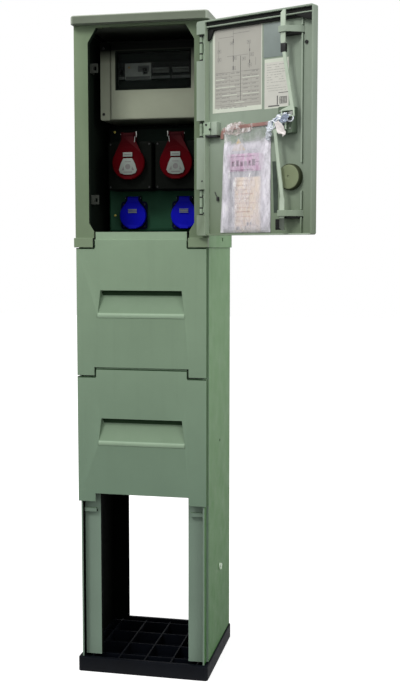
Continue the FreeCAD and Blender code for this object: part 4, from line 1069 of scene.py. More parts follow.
@dataclass
class DoorPapers:
    """The two printed sheets, the clear sleeve above the small one and a spring clip.

    The pieces are given as left, right, low and high edges in millimetres, and what is printed as shares of its
    sheet: a bar as start, foot, width and height, an upright line as place, foot and top, a level line as start,
    width and height above the foot, and small print as start, foot, width, top, rows, thickness and seed.
    """

    large: tuple = (-15.0, 127.0, 1418.0, 1613.0)
    small: tuple = (-88.0, -22.0, 1417.0, 1530.0)
    sleeve: tuple = (-76.0, -19.0, 1534.0, 1611.0)
    clip: tuple = (-5.0, 24.0, 1613.0, 1617.0)
    large_margins: tuple = ((0.0, 0.0, 1.0, 0.055), (0.0, 0.055, 0.045, 0.945), (0.985, 0.055, 0.015, 0.945))
    small_margins: tuple = ((0.0, 0.0, 1.0, 0.03), (0.0, 0.93, 1.0, 0.07))
    uprights: tuple = ((0.418, 0.46, 0.97), (0.745, 0.50, 0.80), (0.87, 0.53, 0.62), (0.12, 0.60, 0.86))
    levels: tuple = ((0.12, 0.31, 0.895), (0.42, 0.33, 0.93), (0.30, 0.42, 0.665), (0.07, 0.20, 0.475),
                     (0.65, 0.30, 0.47))
    symbols: tuple = ((0.36, 0.80), (0.42, 0.62), (0.70, 0.79), (0.60, 0.60), (0.76, 0.64), (0.10, 0.72),
                      (0.10, 0.62), (0.40, 0.50), (0.72, 0.52))
    table_foot: float = 0.09
    table_rows: int = 9
    table_pitch: float = 0.048
    table_rules: tuple = (0.17, 0.34, 0.78)
    table_words: tuple = ((0.07, 0.09, 3), (0.19, 0.14, 4), (0.37, 0.18, 5), (0.62, 0.14, 6), (0.80, 0.13, 7))
    foot_words: tuple = (0.10, 0.035, 0.60, 0.08, 2, 0.007, 8)
    spine: tuple = (0.566, 0.13, 0.010, 0.53)
    bold_uprights: tuple = ((0.415, 0.82, 0.87), (0.415, 0.60, 0.67), (0.415, 0.50, 0.55), (0.745, 0.70, 0.73),
                            (0.745, 0.56, 0.60))
    gaps: tuple = ((0.06, 0.40, 0.30), (0.61, 0.33, 0.395), (0.61, 0.33, 0.20), (0.20, 0.30, 0.20),
                   (0.45, 0.20, 0.105), (0.06, 0.18, 0.395))
    small_words: tuple = ((0.10, 0.50, 0.80, 0.90, 8, 0.008, 11), (0.10, 0.33, 0.80, 0.48, 3, 0.007, 12))
    small_bars: tuple = ((0.58, 0.30, 0.40, 0.014), (0.52, 0.07, 0.045, 0.18), (0.16, 0.035, 0.46, 0.028))
    grid_rows: int = 6
    grid_columns: int = 5

    def build(self) -> None:
        """Make every printed mark, the sleeve and the clip."""
        self.margins()
        self.large_print()
        self.small_print()
        for name, finish, slot, place, depth, bevel in (
                ("label_sleeve", SLEEVE, Slot.FILM, self.sleeve, 0.8, 0.3),
                ("sheet_clip", DARK, Slot.BLACK, self.clip, 5.0, 0.8)):
            left, right, low, high = place
            form = Form(DOOR)
            form.block((left, DOOR_SKIN, low), (right, DOOR_SKIN + depth, high), bevel)
            form.finish(name, finish, Body.DOOR, slot)

    def margins(self) -> None:
        """The paler border strips of both sheets."""
        for name, place, bars in (("circuit_sheet_margin", self.large, self.large_margins),
                                  ("rating_sheet_margin", self.small, self.small_margins)):
            sheet = PrintedSheet(*place, ink=0.05)
            for bar in bars:
                sheet.bar(*bar)
            sheet.finish(name, MARGIN)

    def large_print(self) -> None:
        """A plain wiring diagram above and rows of a table below."""
        sheet = PrintedSheet(*self.large)
        for across, low, high in self.uprights:
            sheet.bar(across, low, 0.008, high - low)
        for across, up in self.symbols:
            sheet.box(across, up, 0.075, 0.04, 0.007)
            sheet.bar(across + 0.02, up + 0.012, 0.03, 0.018)
        for across, width, up in self.levels:
            sheet.bar(across, up, width, 0.006)
        for row in range(self.table_rows):
            sheet.bar(0.06, self.table_foot + row * self.table_pitch, 0.88, 0.0045)
        for across in self.table_rules:
            sheet.bar(across, self.table_foot, 0.005, 0.39)
        for across, width, seed in self.table_words:
            sheet.rows(across, 0.10, width, 0.48, 8, 0.010, seed)
        sheet.rows(*self.foot_words)
        sheet.finish("circuit_sheet_print", INK)
        dark = PrintedSheet(*self.large, ink=0.12)
        dark.bar(*self.spine)
        for across, low, high in self.bold_uprights:
            dark.bar(across, low, 0.016, high - low)
        dark.finish("circuit_sheet_lines", INK_DARK)
        light = PrintedSheet(*self.large, ink=0.14)
        for across, width, up in self.gaps:
            light.bar(across, up, width, 0.007)
        light.finish("circuit_sheet_gaps", MARGIN)

    def small_print(self) -> None:
        """Rows of faint print over a dark corner mark and a small grid."""
        sheet = PrintedSheet(*self.small)
        for words in self.small_words:
            sheet.rows(*words)
        sheet.finish("rating_sheet_print", INK)
        dark = PrintedSheet(*self.small, ink=0.12)
        for bar in self.small_bars:
            dark.bar(*bar)
        for row in range(self.grid_rows):
            dark.bar(0.63, 0.085 + row * 0.026, 0.30, 0.012)
        for column in range(self.grid_columns):
            dark.bar(0.63 + column * 0.07, 0.085, 0.022, 0.142)
        dark.finish("rating_sheet_marks", INK_DARK)


@dataclass
class DoorGasketAndShadows:
    """The rubber in the door's top channel and dark blocks of painted shadow under its wall and at its rim.

    Its two outlines give places across the door and heights from the channel's wall.
    """

    left: float = -158.5
    right: float = 140.0
    wall_low: float = 1619.3
    channel: tuple = (1622.7, 1631.5)
    channel_gap: float = 6.5
    strip: tuple = (6.0, 6.5)
    strip_end: float = 4.0
    corner: tuple = ((-108.0, 0.0), (-158.5, 0.0), (-158.5, -16.3), (-140.0, -13.3))
    corner_gap: float = 5.0
    hinge_notch_shadow: tuple = ((118.0, -2.0), (140.0, -2.0), (140.0, -31.3), (130.0, -25.3))
    hinge_notch_shadow_depth: float = 7.0

    def build(self) -> None:
        """Make the channel's profile and the painted shadows: the strip under its wall, the corner block and the
        notch by the hinge.
        """
        form = Form(DOOR)
        low, high = self.channel
        form.block((self.left, DOOR_SKIN, low), (self.right, DOOR_RIM - self.channel_gap, high), 1.2)
        # Painted shadow: a dark strip on the skin under the channel's wall.
        height, depth = self.strip
        form.block((self.left, DOOR_SKIN, self.wall_low - height),
                   (self.right - self.strip_end, DOOR_SKIN + depth, self.wall_low), 1.2)
        # Painted shadow: a dark wedge in the corner at the free edge and a dark notch by the hinge.
        for outline, end in ((self.corner, DOOR_RIM - self.corner_gap), (self.hinge_notch_shadow, DOOR_SKIN + self.hinge_notch_shadow_depth)):
            form.prism([(across, self.wall_low + up) for across, up in outline], Axis.Y, DOOR_SKIN, end, 1.5)
        form.finish("door_gasket", RUBBER_AND_PAINTED_SHADE, Body.DOOR, Slot.BLACK)


@dataclass
class LockFittings:
    """Screws of the lock and the hinge strap, hinge washers, the rod's collar, plugs, small clips and painted shadows
    of the door.
    """

    case_face: float = -149.5
    case_screws: tuple = ((-106, 1366), (-80, 1366), (-106, 1406), (-80, 1406))
    strap_screws: tuple = ((134.0, 1390.5), (123.0, 1379.0))
    rim_screws: tuple = ((147.0, 1600.0), (146.0, 1545.0), (146.0, 1257.0), (144.0, 1221.5), (142.0, 1180.0))
    washers: tuple = (1602.4, 1587.0, 1561.0, 1545.6, 1236.4, 1219.0, 1193.0, 1177.6, 1364.6, 1397.4)
    washer_radius: float = 5.12
    washer_height: float = 2.6
    strap_shade: tuple = (104, 139, 1360.5, 1364.8)
    clip: tuple = (107, 113, 1209, 1219)
    clip_wire: tuple = ((110, 3, 1217), (115, 6, 1224), (118, 3, 1231))
    door_plug: Point = (-135.5, DOOR_SKIN, 1557.5)
    vent: tuple = (-71.0, -54.0, 1138.0, 1163.0)
    vent_bars: int = 4
    vent_pitch: float = 5.4
    # Outline of the painted shadow that the bag's edge casts beside the lower rod.
    strip: tuple = ((-45, 1296), (-54, 1296), (-60.5, 1240), (-60.5, 1178), (-50, 1178), (-47.5, 1240))
    guide_levels: tuple = (1587.0, 1175.0)
    # Outline of the painted shadows under the rod guides.
    guide_shadow: tuple = ((-130, DOOR_SKIN), (-106, -146.6), (-80, -146.6), (-76.5, DOOR_SKIN))
    strap_pad: tuple = (104.5, 121.4, 1365.2, 1396.8)
    collar: tuple = ((-97.5, -149.3, 1536), (-84.5, -140.3, 1556))

    def build(self) -> None:
        """Make the fittings."""
        self.screws_and_clips()
        self.vent_plug()
        self.pads()
        collar = Form(DOOR)
        collar.block(*self.collar, 1.0)
        collar.finish("rod_collar", DARK, Body.UPPER_BOLT, Slot.BLACK)

    def slab(self, form: Form, place: tuple, back: float, front: float, bevel: float) -> None:
        """Add a flat block from its left, right, low and high edges and its two depths."""
        left, right, low, high = place
        form.block((left, back, low), (right, front, high), bevel)

    def screws_and_clips(self) -> None:
        """The lock case's screws, and the dark screws, washers, clip, plug and a bar of painted shadow under the
        hinge strap.
        """
        screws = Form(DOOR)
        for across, up in self.case_screws:
            screws.screw((across, self.case_face, up), Axis.Y, 2.6, 1.2)
        screws.finish("lock_case_screws", ZINC, Body.DOOR, Slot.METAL)
        dark = Form(DOOR)
        for places, radius, height in ((self.strap_screws, 3.0, 1.4), (self.rim_screws, 2.4, 1.0)):
            for across, up in places:
                dark.screw((across, DOOR_RIM - 0.3, up), Axis.Y, radius, height)
        for up in self.washers:
            dark.round((*HINGE, up - self.washer_height / 2), Axis.Z, self.washer_radius, self.washer_height, 0.3)
        # Painted shadow: a dark bar under the hinge strap.
        self.slab(dark, self.strap_shade, DOOR_SKIN, DOOR_RIM - 3.0, 0.8)
        self.slab(dark, self.clip, DOOR_SKIN, DOOR_SKIN + 5, 1.0)
        dark.wire([(across, DOOR_SKIN + out, up) for across, out, up in self.clip_wire], 0.9)
        dark.round(self.door_plug, Axis.Y, 4.2, 2.0, 0.6)
        dark.finish("door_small_fittings", DARK, Body.DOOR, Slot.BLACK)

    def vent_plug(self) -> None:
        """A dark plug with louvres in the door's vent."""
        left, right, low, high = self.vent
        plug = Form(DOOR)
        plug.block((left + 0.5, DOOR_SKIN - 2.0, low + 0.5), (right - 0.5, DOOR_SKIN + 0.6, high - 0.5), 0.8)
        for row in range(self.vent_bars):
            up = low + 4.0 + row * self.vent_pitch
            plug.block((left + 3, DOOR_SKIN + 0.4, up), (right - 3, DOOR_SKIN + 1.3, up + 2.2), 0.4)
        plug.finish("vent_plug", RUBBER_AND_PAINTED_SHADE, Body.DOOR, Slot.BLACK)

    def pads(self) -> None:
        """The strip of painted shadow beside the bag, the dark blocks of painted shadow under the guides and the pad
        behind the hinge strap.
        """
        # Painted shadow of the bag's edge beside the lower rod.
        strip = Form(DOOR)
        strip.prism(self.strip, Axis.Y, DOOR_SKIN, DOOR_SKIN + 1.0, 0.3)
        strip.finish("edge_strip", SHADE_STRIP, Body.DOOR, Slot.BLACK)
        # Painted shadows under the rod guides.
        under = Form(DOOR)
        for up in self.guide_levels:
            under.prism(self.guide_shadow, Axis.Z, up - 11.6, up - 7.1, 0.4)
        under.finish("guide_pads", RUBBER_AND_PAINTED_SHADE, Body.DOOR, Slot.BLACK)
        pad = Form(DOOR)
        self.slab(pad, self.strap_pad, DOOR_SKIN, DOOR_RIM - 2.6, 1.2)
        pad.finish("strap_pad", DOOR_GREEN, Body.DOOR, Slot.GREEN)


@dataclass
class FilmStrip:
    """A crumpled strip of film or paper between two places on the closed door, in millimetres."""

    start: Point
    end: Point
    width: float
    swell: float
    seed: int
    thick: float = 0.3
    columns: int = 22
    rows: int = 12

    def add_to(self, form: Form) -> None:
        """Shape the strip from a grid and add it.

        Args:
            form: The form that takes it.
        """
        part = bmesh.new()
        bmesh.ops.create_grid(part, x_segments=self.columns, y_segments=self.rows, size=0.5)
        start, end = Vector(self.start), Vector(self.end)
        along = end - start
        out = Vector((0, 1, 0))
        side = along.cross(out).normalized()
        for vertex in part.verts:
            share, reach = vertex.co.x + 0.5, vertex.co.y
            spot = Vector((share * 3.4, reach * 3.1, self.seed * 2.3))
            fold = noise.noise(spot) + 0.5 * noise.noise(spot * 2.7)
            ragged = noise.noise(Vector((share * 4.0, self.seed, 0.0)))
            bulge = 1.0 - 0.35 * math.cos(share * math.tau)
            vertex.co = (start + along * share + side * self.width * (reach * bulge + 0.25 * ragged)
                         + out * self.swell * fold + side * self.swell * 0.5 * noise.noise(spot * 1.9))
        grown = bmesh.ops.extrude_face_region(part, geom=list(part.faces), use_keep_orig=True)
        for item in grown["geom"]:
            if isinstance(item, bmesh.types.BMVert):
                item.co.y += self.thick
        bmesh.ops.recalc_face_normals(part, faces=part.faces)
        form.keep(part)


@dataclass
class BagTie:
    """Crumpled film strips knotted round the lock, with a pale tag.

    A strip is its start and end from the knot, then its width, swell, seed and, where it is given, its thickness.
    A loop is its middle from the knot, across and up, and its half width and half height.
    """

    knot: Point = (-58.0, -146.0, 1373.0)
    white_strips: tuple = (((16, -4, -4), (-16, 2, 8), 17, 3.5, 1), ((24, -18, -28), (8, -6, -4), 13, 3.5, 3),
                           ((-6, 3, 14), (-44, 4, 26), 9, 3.5, 4))
    blue_strips: tuple = (((-2, 1, 4), (-50, 3, 22), 15, 4.5, 6), ((-12, 0, -3), (-40, 2, 8), 9, 3.5, 7),
                          ((-32, 12, 8), (-52, 12, 20), 13, 2.5, 9))
    tag_strips: tuple = (((-22, 13, 8), (-42, 12, -24), 15, 2.0, 8, 0.5),)
    ring: tuple = (-52, 15, 9, 8)
    ring_corners: int = 8
    loops: tuple = ((-24, 6, 11, 9), (-6, 2, 9, 10))
    loop_corners: int = 7
    slack: tuple = (0.7, 1.2)
    seed: int = 17

    def strips(self, form: Form, rows: tuple) -> None:
        """Add strips of film near the knot.

        Args:
            form: The form that takes them.
            rows: The strips.
        """
        knot = Vector(self.knot)
        for start, end, *sizes in rows:
            FilmStrip(knot + Vector(start), knot + Vector(end), *sizes).add_to(form)

    def rings(self, form: Form) -> None:
        """Add the round loop at the far end and the slack ones beside the knot.

        Args:
            form: The form that takes them.
        """
        x, y, z = self.knot
        across, up, wide, tall = self.ring
        turns = [turn * math.tau / self.ring_corners for turn in range(self.ring_corners)]
        form.wire([(x + across + wide * math.cos(turn), y + 3, z + up + tall * math.sin(turn)) for turn in turns],
                  1.6, True)
        pick = random.Random(self.seed)
        turns = [turn * math.tau / self.loop_corners for turn in range(self.loop_corners)]
        for across, up, wide, tall in self.loops:
            form.wire([(x + across + wide * pick.uniform(*self.slack) * math.cos(turn), y + 6,
                        z + up + tall * pick.uniform(*self.slack) * math.sin(turn)) for turn in turns], 1.5, True)

    def build(self) -> None:
        """Make the strips, the loops and the tag."""
        white = Form(DOOR)
        self.strips(white, self.white_strips)
        self.rings(white)
        white.finish("bag_tie_white", TIE, Body.DOOR, Slot.FILM)
        blue = Form(DOOR)
        self.strips(blue, self.blue_strips)
        blue.finish("bag_tie_blue", TIE_BLUE, Body.DOOR, Slot.FILM)
        tag = Form(DOOR)
        self.strips(tag, self.tag_strips)
        tag.finish("bag_tag", TAG, Body.DOOR, Slot.PAPER)


@dataclass
class DocumentBag:
    """A clear film bag of papers on the inside of the door, in closed-door millimetres.

    Flat pieces are given as left, right, low and high edges. Places on the film are shares of its width and height.
    """

    left: float = -41.0
    right: float = 103.0
    low: float = 1132.0
    high: float = 1388.0
    filled: float = 0.72
    mouth: float = 0.12
    flat_lift: float = 0.5
    full_lift: float = 5.0
    crease_lift: tuple = (0.4, 1.6)
    waist: tuple = (0.035, 0.88, 0.06)
    lean: float = 9.0
    wobble: float = 1.4
    pulled_corner: tuple = (0.22, 0.80)
    pull: tuple = (12.0, 6.0)
    sag: float = 7.0
    film_thickness: float = 0.25
    columns: int = 84
    rows: int = 144
    seed: int = 5
    band: tuple = ((-36, 2.5, 1384), (0, 1.2, 1383), (40, 1.6, 1382), (80, 1.2, 1379), (94, 1.4, 1376),
                   (98, 1.4, 1368), (98, 1.2, 1356))
    crumples: tuple = (((96, 1374), (10, 1380), 22, 11), ((84, 1386), (40, 1388), 9, 12))
    card_lines: tuple = ((4, 80, 1311, 1312.6), (-14, 8, 1297, 1298.6), (8, 72, 1279, 1281))
    card_word_end: float = 80.0
    card_word_start: float = 2.0
    card_word_foot: float = 1289.0
    print_seed: int = 21
    print_rows: int = 11
    print_top: float = 1254.0
    print_pitch: float = 10.5
    print_end: float = 57.0
    bold_rows: tuple = (3, 7)
    foot_marks: tuple = ((12, 1150, 5, 7), (20, 1148, 6, 8), (27, 1139, 3, 9), (46, 1139, 9, 7))
    corner_card: tuple = ((30, 1326), (70, 1326), (50, 1354))

    def crease(self, across: float, up: float) -> float:
        """Height of the film's creases at a place, from -1 to 1.

        Args:
            across: A share of the bag's width, from its left edge on the closed door.
            up: A share of its height, from its foot.

        Returns:
            The height.
        """
        spot = Vector((across * 5.5, up * 8.0, self.seed * 1.7))
        ridge = 1 - 2 * abs(noise.noise(spot))
        fine = 1 - 2 * abs(noise.noise(spot * 2.6 + Vector((3, 7, 1))))
        hang = 1 - 2 * abs(noise.noise(Vector((across * 9 + up * 2.5, up * 1.6, 4.2))))
        return 0.45 * ridge + 0.25 * fine + 0.3 * hang

    def fullness(self, across: float, up: float) -> float:
        """How far the filled bag stands off the door, from nothing at its seams.

        Args:
            across: A share of the bag's width, from its left edge on the closed door.
            up: A share of its height, from its foot.

        Returns:
            A share from 0 to 1.
        """
        side = max(0.0, 1 - abs(across - 0.5) * 2)
        seam = min(1.0, side * 5.5) * min(1.0, up * 14)
        stuffed = 1.0 if up < self.filled else max(0.10, 1 - (up - self.filled) / self.mouth)
        return (1 - (1 - seam) ** 2) * stuffed

    def settle(self, across: float, up: float) -> Vector:
        """Where a point of the flat film ends up on the bag.

        Args:
            across: A share of the bag's width, from its left edge on the closed door.
            up: A share of its height, from its foot.

        Returns:
            The place on the closed door, in millimetres.
        """
        full = self.fullness(across, up)
        shallow, deep = self.crease_lift
        lift = (self.flat_lift + self.full_lift * full
                + (shallow + deep * full) * (0.5 + 0.5 * self.crease(across, up)))
        depth, height, spread = self.waist
        side = (across - 0.5) * (1 - depth * math.exp(-((up - height) / spread) ** 2))
        lean = self.lean * max(0.0, across - 0.5) * 2 * min(1.0, up / (self.filled + self.mouth))
        wobble = self.wobble * noise.noise(Vector((3.1 * across, 5.3 * up, self.seed)))
        edge, top = self.pulled_corner
        pull = max(0.0, 1 - across / edge) * max(0.0, (up - top) / (1 - top))
        x = ((self.left + self.right) / 2 + side * (self.right - self.left) + wobble * abs(side) * 2
             - self.pull[0] * pull - lean)
        z = self.low + up * (self.high - self.low) - self.sag * across * up
        return Vector((x, DOOR_SKIN + lift + self.pull[1] * pull, z))

    def film(self) -> bpy.types.Object:
        """The creased clear film, one closed sheet over the bag's outline.

        Returns:
            The piece.
        """
        shape = bmesh.new()
        layer = shape.loops.layers.uv.new("film")
        bmesh.ops.create_grid(shape, x_segments=self.columns, y_segments=self.rows, size=0.5)
        for face in shape.faces:
            for loop in face.loops:
                loop[layer].uv = (loop.vert.co.x + 0.5, loop.vert.co.y + 0.5)
        for vertex in shape.verts:
            vertex.co = self.settle(vertex.co.x + 0.5, vertex.co.y + 0.5)
        bmesh.ops.recalc_face_normals(shape, faces=shape.faces)
        bmesh.ops.solidify(shape, geom=list(shape.faces), thickness=self.film_thickness)
        bmesh.ops.recalc_face_normals(shape, faces=shape.faces)
        shape.transform(DOOR @ Matrix.Scale(MM, 4))
        mesh = bpy.data.meshes.new("document_bag_film")
        shape.to_mesh(mesh)
        shape.free()
        mesh.shade_smooth()
        return link_mesh("document_bag_film", mesh, FILM, Body.DOOR)

    def header(self) -> None:
        """The brown folded band across the top, bent down at one end, with crumpled film on it."""
        y = DOOR_SKIN + 0.8
        band = Form(DOOR)
        band.wire([(across, y + out, up) for across, out, up in self.band], 0.8, False, 3.4)
        band.finish("bag_header", BROWN, Body.DOOR, Slot.PAPER)
        crumple = Form(DOOR)
        for start, end, width, seed in self.crumples:
            FilmStrip((start[0], y + 1.8, start[1]), (end[0], y + 2.0, end[1]), width, 0.9, seed).add_to(crumple)
        crumple.finish("bag_header_crumples", CRUMPLE, Body.DOOR, Slot.FILM)

    def slab(self, form: Form, place: tuple, back: float, front: float, bevel: float = 0.0) -> None:
        """Add a flat piece from its edges and its two distances from the door's skin."""
        left, right, low, high = place
        form.block((left, DOOR_SKIN + back, low), (right, DOOR_SKIN + front, high), bevel)

    def papers(self) -> None:
        """The sheets and cards inside the film and their print."""
        for name, finish, place, back, front, bevel in (
                ("bag_backing", BACKING, (-30, 88, 1135, 1340), 0.2, 0.8, 0.2),
                ("bag_papers", CREAM, (-14, 61, 1134, 1263), 0.9, 2.0, 0.3),
                ("bag_card", PINK, (-24, 84, 1277, 1318), 0.9, 2.2, 0.3)):
            sheet = Form(DOOR)
            self.slab(sheet, place, back, front, bevel)
            sheet.finish(name, finish, Body.DOOR, Slot.PAPER)
        pick = random.Random(self.print_seed)
        self.card_print(pick)
        self.sheet_print(pick)
        feet = Form(DOOR)
        for left, low, wide, tall in self.foot_marks:
            self.slab(feet, (left, left + wide, low, low + tall), 1.9, 2.2, 0.2)
        feet.finish("bag_papers_marks", INK_DARK, Body.DOOR, Slot.PAPER)
        warm = Form(DOOR)
        warm.prism(self.corner_card, Axis.Y, DOOR_SKIN + 0.9, DOOR_SKIN + 1.4, 0.2)
        warm.finish("bag_corner_card", ORANGE, Body.DOOR, Slot.PAPER)

    def card_print(self, pick: random.Random) -> None:
        """A row of uneven blocks in place of large print, and three lines.

        Args:
            pick: Draws the sizes and gaps.
        """
        plum = Form(DOOR)
        right = self.card_word_end
        while right > self.card_word_start:
            width = pick.uniform(6.0, 9.5)
            top = self.card_word_foot + pick.uniform(11, 17)
            self.slab(plum, (right - width, right, self.card_word_foot, top), 2.1, 2.4, 0.1)
            right -= width + pick.uniform(3.0, 5.0)
        for place in self.card_lines:
            self.slab(plum, place, 2.1, 2.4)
        plum.finish("bag_card_print", PLUM, Body.DOOR, Slot.PAPER)

    def sheet_print(self, pick: random.Random) -> None:
        """Rows of thin lines, two of them bolder.

        Args:
            pick: Draws the lines' lengths.
        """
        lines = Form(DOOR)
        for row in range(self.print_rows):
            left = self.print_end - pick.uniform(36, 62)
            low = self.print_top - row * self.print_pitch
            height = 2.6 if row in self.bold_rows else 1.3
            self.slab(lines, (left, self.print_end, low, low + height), 1.9, 2.15)
        lines.finish("bag_papers_print", INK_SOFT, Body.DOOR, Slot.PAPER)

    def build(self) -> bpy.types.Object:
        """Make the bag and what is in it.

        Returns:
            The bag's film.
        """
        bag = self.film()
        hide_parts("document_bag")
        self.papers()
        self.header()
        return bag


@dataclass
class SwitchUnit:
    """Marks and screws of the switch devices behind the window."""

    cover_screws: tuple = (133.5, 1443.0, 1611.0)
    strip_front: float = -25.0
    nose: float = -14.0
    module: float = 17.5
    devices: tuple = ((-96.25, 1), (-78.75, 4), (-8.75, 3), (43.75, 3))
    label: tuple = (1532.0, 1539.0)
    line: tuple = (1534.4, 1536.4)
    plate: tuple = (-44, -14, 1550, 1566)
    plate_lines: tuple = ((-41, -20, 1560, 1562), (-41, -26, 1555, 1557))

    def mark(self, form: Form, place: tuple, back: float, front: float) -> None:
        """Add a flat mark from its edges and its two distances from the devices' noses."""
        left, right, low, high = place
        form.block((left, self.nose - back, low), (right, self.nose - front, high), 0.0)

    def build(self) -> None:
        """Make the screws, label strips and bars."""
        across, low, high = self.cover_screws
        screws = Form(HERE)
        for side in (-across, across):
            for up in (low, high):
                screws.screw((side, self.strip_front, up), Axis.Y, 3.8, -1.8)
        screws.finish("cover_screws", DARK, Body.CABINET, Slot.BLACK)
        strip = Form(HERE)
        ink = Form(HERE)
        for left, count in self.devices:
            width = self.module * count
            self.mark(strip, (left + 2, left + width - 2, *self.label), 0.25, 0.0)
            self.mark(ink, (left + 4, left + width * 0.55, *self.line), 0.4, 0.2)
        self.mark(strip, self.plate, 0.25, 0.0)
        for place in self.plate_lines:
            self.mark(ink, place, 0.4, 0.2)
        strip.finish("device_labels", STICKER, Body.CABINET, Slot.PAPER)
        ink.finish("device_label_print", INK_DARK, Body.CABINET, Slot.PAPER)


@dataclass
class SocketBank:
    """Stickers, hinge springs and screws of the socket outlets.

    Everything on a lid is given from the lid's middle, and its marks as low edge, high edge and half width.
    A spring's points are given across, behind the lid's front, and up.
    """

    red_across: float = 63.25
    blue_across: float = 70.0
    tray_front: float = 40.0
    box_front: float = -28.0
    flange_front: float = 36.0
    top_bar: tuple = (-13, 12, 1331, 1342)
    sticker: tuple = ((-12, 1327), (12, 1327), (19, 1313), (24, 1297), (20, 1289), (8, 1285), (-8, 1285),
                      (-20, 1289), (-24, 1297), (-19, 1313))
    bars: tuple = ((1290, 1293, 12), (1317, 1319, 8), (1335, 1338, 9))
    dot: tuple = (1305.5, 7.0)
    wedge: tuple = ((10, 1296), (17, 1296), (11, 1307))
    spring_side: float = 18.0
    spring: tuple = ((0, 4, 1382), (0, 3, 1372), (3, 6, 1362))
    leg_side: float = 21.8
    leg: tuple = ((0, 6, 1395), (0, 4, 1388), (0, 5, 1381))
    coil: float = 1.1
    blue_bars: tuple = (1189.0, 3.8, 2.4, 12.0)
    tray_screws: tuple = ((-124, 1183), (124, 1183), (-124, 1404), (124, 1404))
    box_screws: tuple = ((-52, 1254), (-52, 1364), (52, 1254), (52, 1364))
    flange_screws: tuple = ((-29, 1154), (-29, 1212), (29, 1154), (29, 1212))

    def build(self) -> None:
        """Make everything on the lids, the boxes and the tray."""
        self.red_lids()
        self.blue_lids()
        self.screws()

    def red_lids(self) -> None:
        """A pale bar and a plain round-shouldered sticker on each red lid, and its hinge spring."""
        for side, body in ((-1, Body.RED_LEFT), (1, Body.RED_RIGHT)):
            word = "left" if side < 0 else "right"
            middle = side * self.red_across
            front = node_box("red_lid_" + word)[0].y
            label = Form(HERE)
            left, right, low, high = self.top_bar
            label.block((middle + left, front - 0.35, low), (middle + right, front, high), 0.1)
            label.prism([(middle + across, up) for across, up in self.sticker], Axis.Y, front - 0.35, front, 0.1)
            label.finish("red_lid_label_" + word, STICKER, body, Slot.PAPER)
            self.red_print(middle, front).finish("red_lid_print_" + word, INK_DARK, body, Slot.PAPER)
            spring = Form(HERE)
            x = middle - side * self.spring_side
            spring.wire([(x + side * out, front + back, up) for out, back, up in self.spring], self.coil)
            spring.finish("red_lid_spring_" + word, ZINC, body, Slot.METAL)
            leg = Form(HERE)
            x = middle - side * self.leg_side
            leg.wire([(x + side * out, front + back, up) for out, back, up in self.leg], self.coil)
            leg.finish("red_spring_leg_" + word, ZINC, Body.CABINET, Slot.METAL)

    def red_print(self, middle: float, front: float) -> Form:
        """Bars, a dot and two wedges in place of the sticker's print.

        Args:
            middle: The lid's middle.
            front: The lid's front.

        Returns:
            The form with the marks.
        """
        marks = Form(HERE)
        for low, high, half in self.bars:
            marks.block((middle - half, front - 0.5, low), (middle + half, front - 0.3, high), 0.0)
        up, radius = self.dot
        marks.round((middle, front - 0.5, up), Axis.Y, radius, 0.2)
        (near, foot), (far, _), (tip, top) = self.wedge
        for way in (-1, 1):
            left, right = sorted((middle + way * near, middle + way * far))
            marks.prism([(left, foot), (right, foot), (middle + way * tip, top)], Axis.Y, front - 0.5, front - 0.3)
        return marks

    def blue_lids(self) -> None:
        """Short pale bars on each blue lid."""
        foot, pitch, tall, half = self.blue_bars
        for side, body in ((-1, Body.BLUE_LEFT), (1, Body.BLUE_RIGHT)):
            word = "left" if side < 0 else "right"
            front = node_box("blue_lid_" + word)[0].y
            middle = side * self.blue_across
            label = Form(HERE)
            for row in range(3):
                low = foot + row * pitch
                label.block((middle - half, front - 0.3, low), (middle + half, front, low + tall), 0.1)
            label.finish("blue_lid_label_" + word, STICKER, body, Slot.PAPER)

    def screws(self) -> None:
        """Screws of the tray, the boxes and the flanges."""
        tray, boxes, flanges = Form(HERE), Form(HERE), Form(HERE)
        for across, up in self.tray_screws:
            tray.screw((across, self.tray_front, up), Axis.Y, 3.6, -1.8)
        tray.finish("tray_screws", BRASS, Body.CABINET, Slot.METAL)
        for side in (-1, 1):
            for across, up in self.box_screws:
                boxes.screw((side * self.red_across + across, self.box_front, up), Axis.Y, 2.6, -1.4)
            for across, up in self.flange_screws:
                flanges.screw((side * self.blue_across + across, self.flange_front, up), Axis.Y, 2.4, -1.2)
        boxes.finish("red_box_screws", DARK, Body.CABINET, Slot.METAL)
        flanges.finish("blue_flange_screws", DARK, Body.CABINET, Slot.METAL)


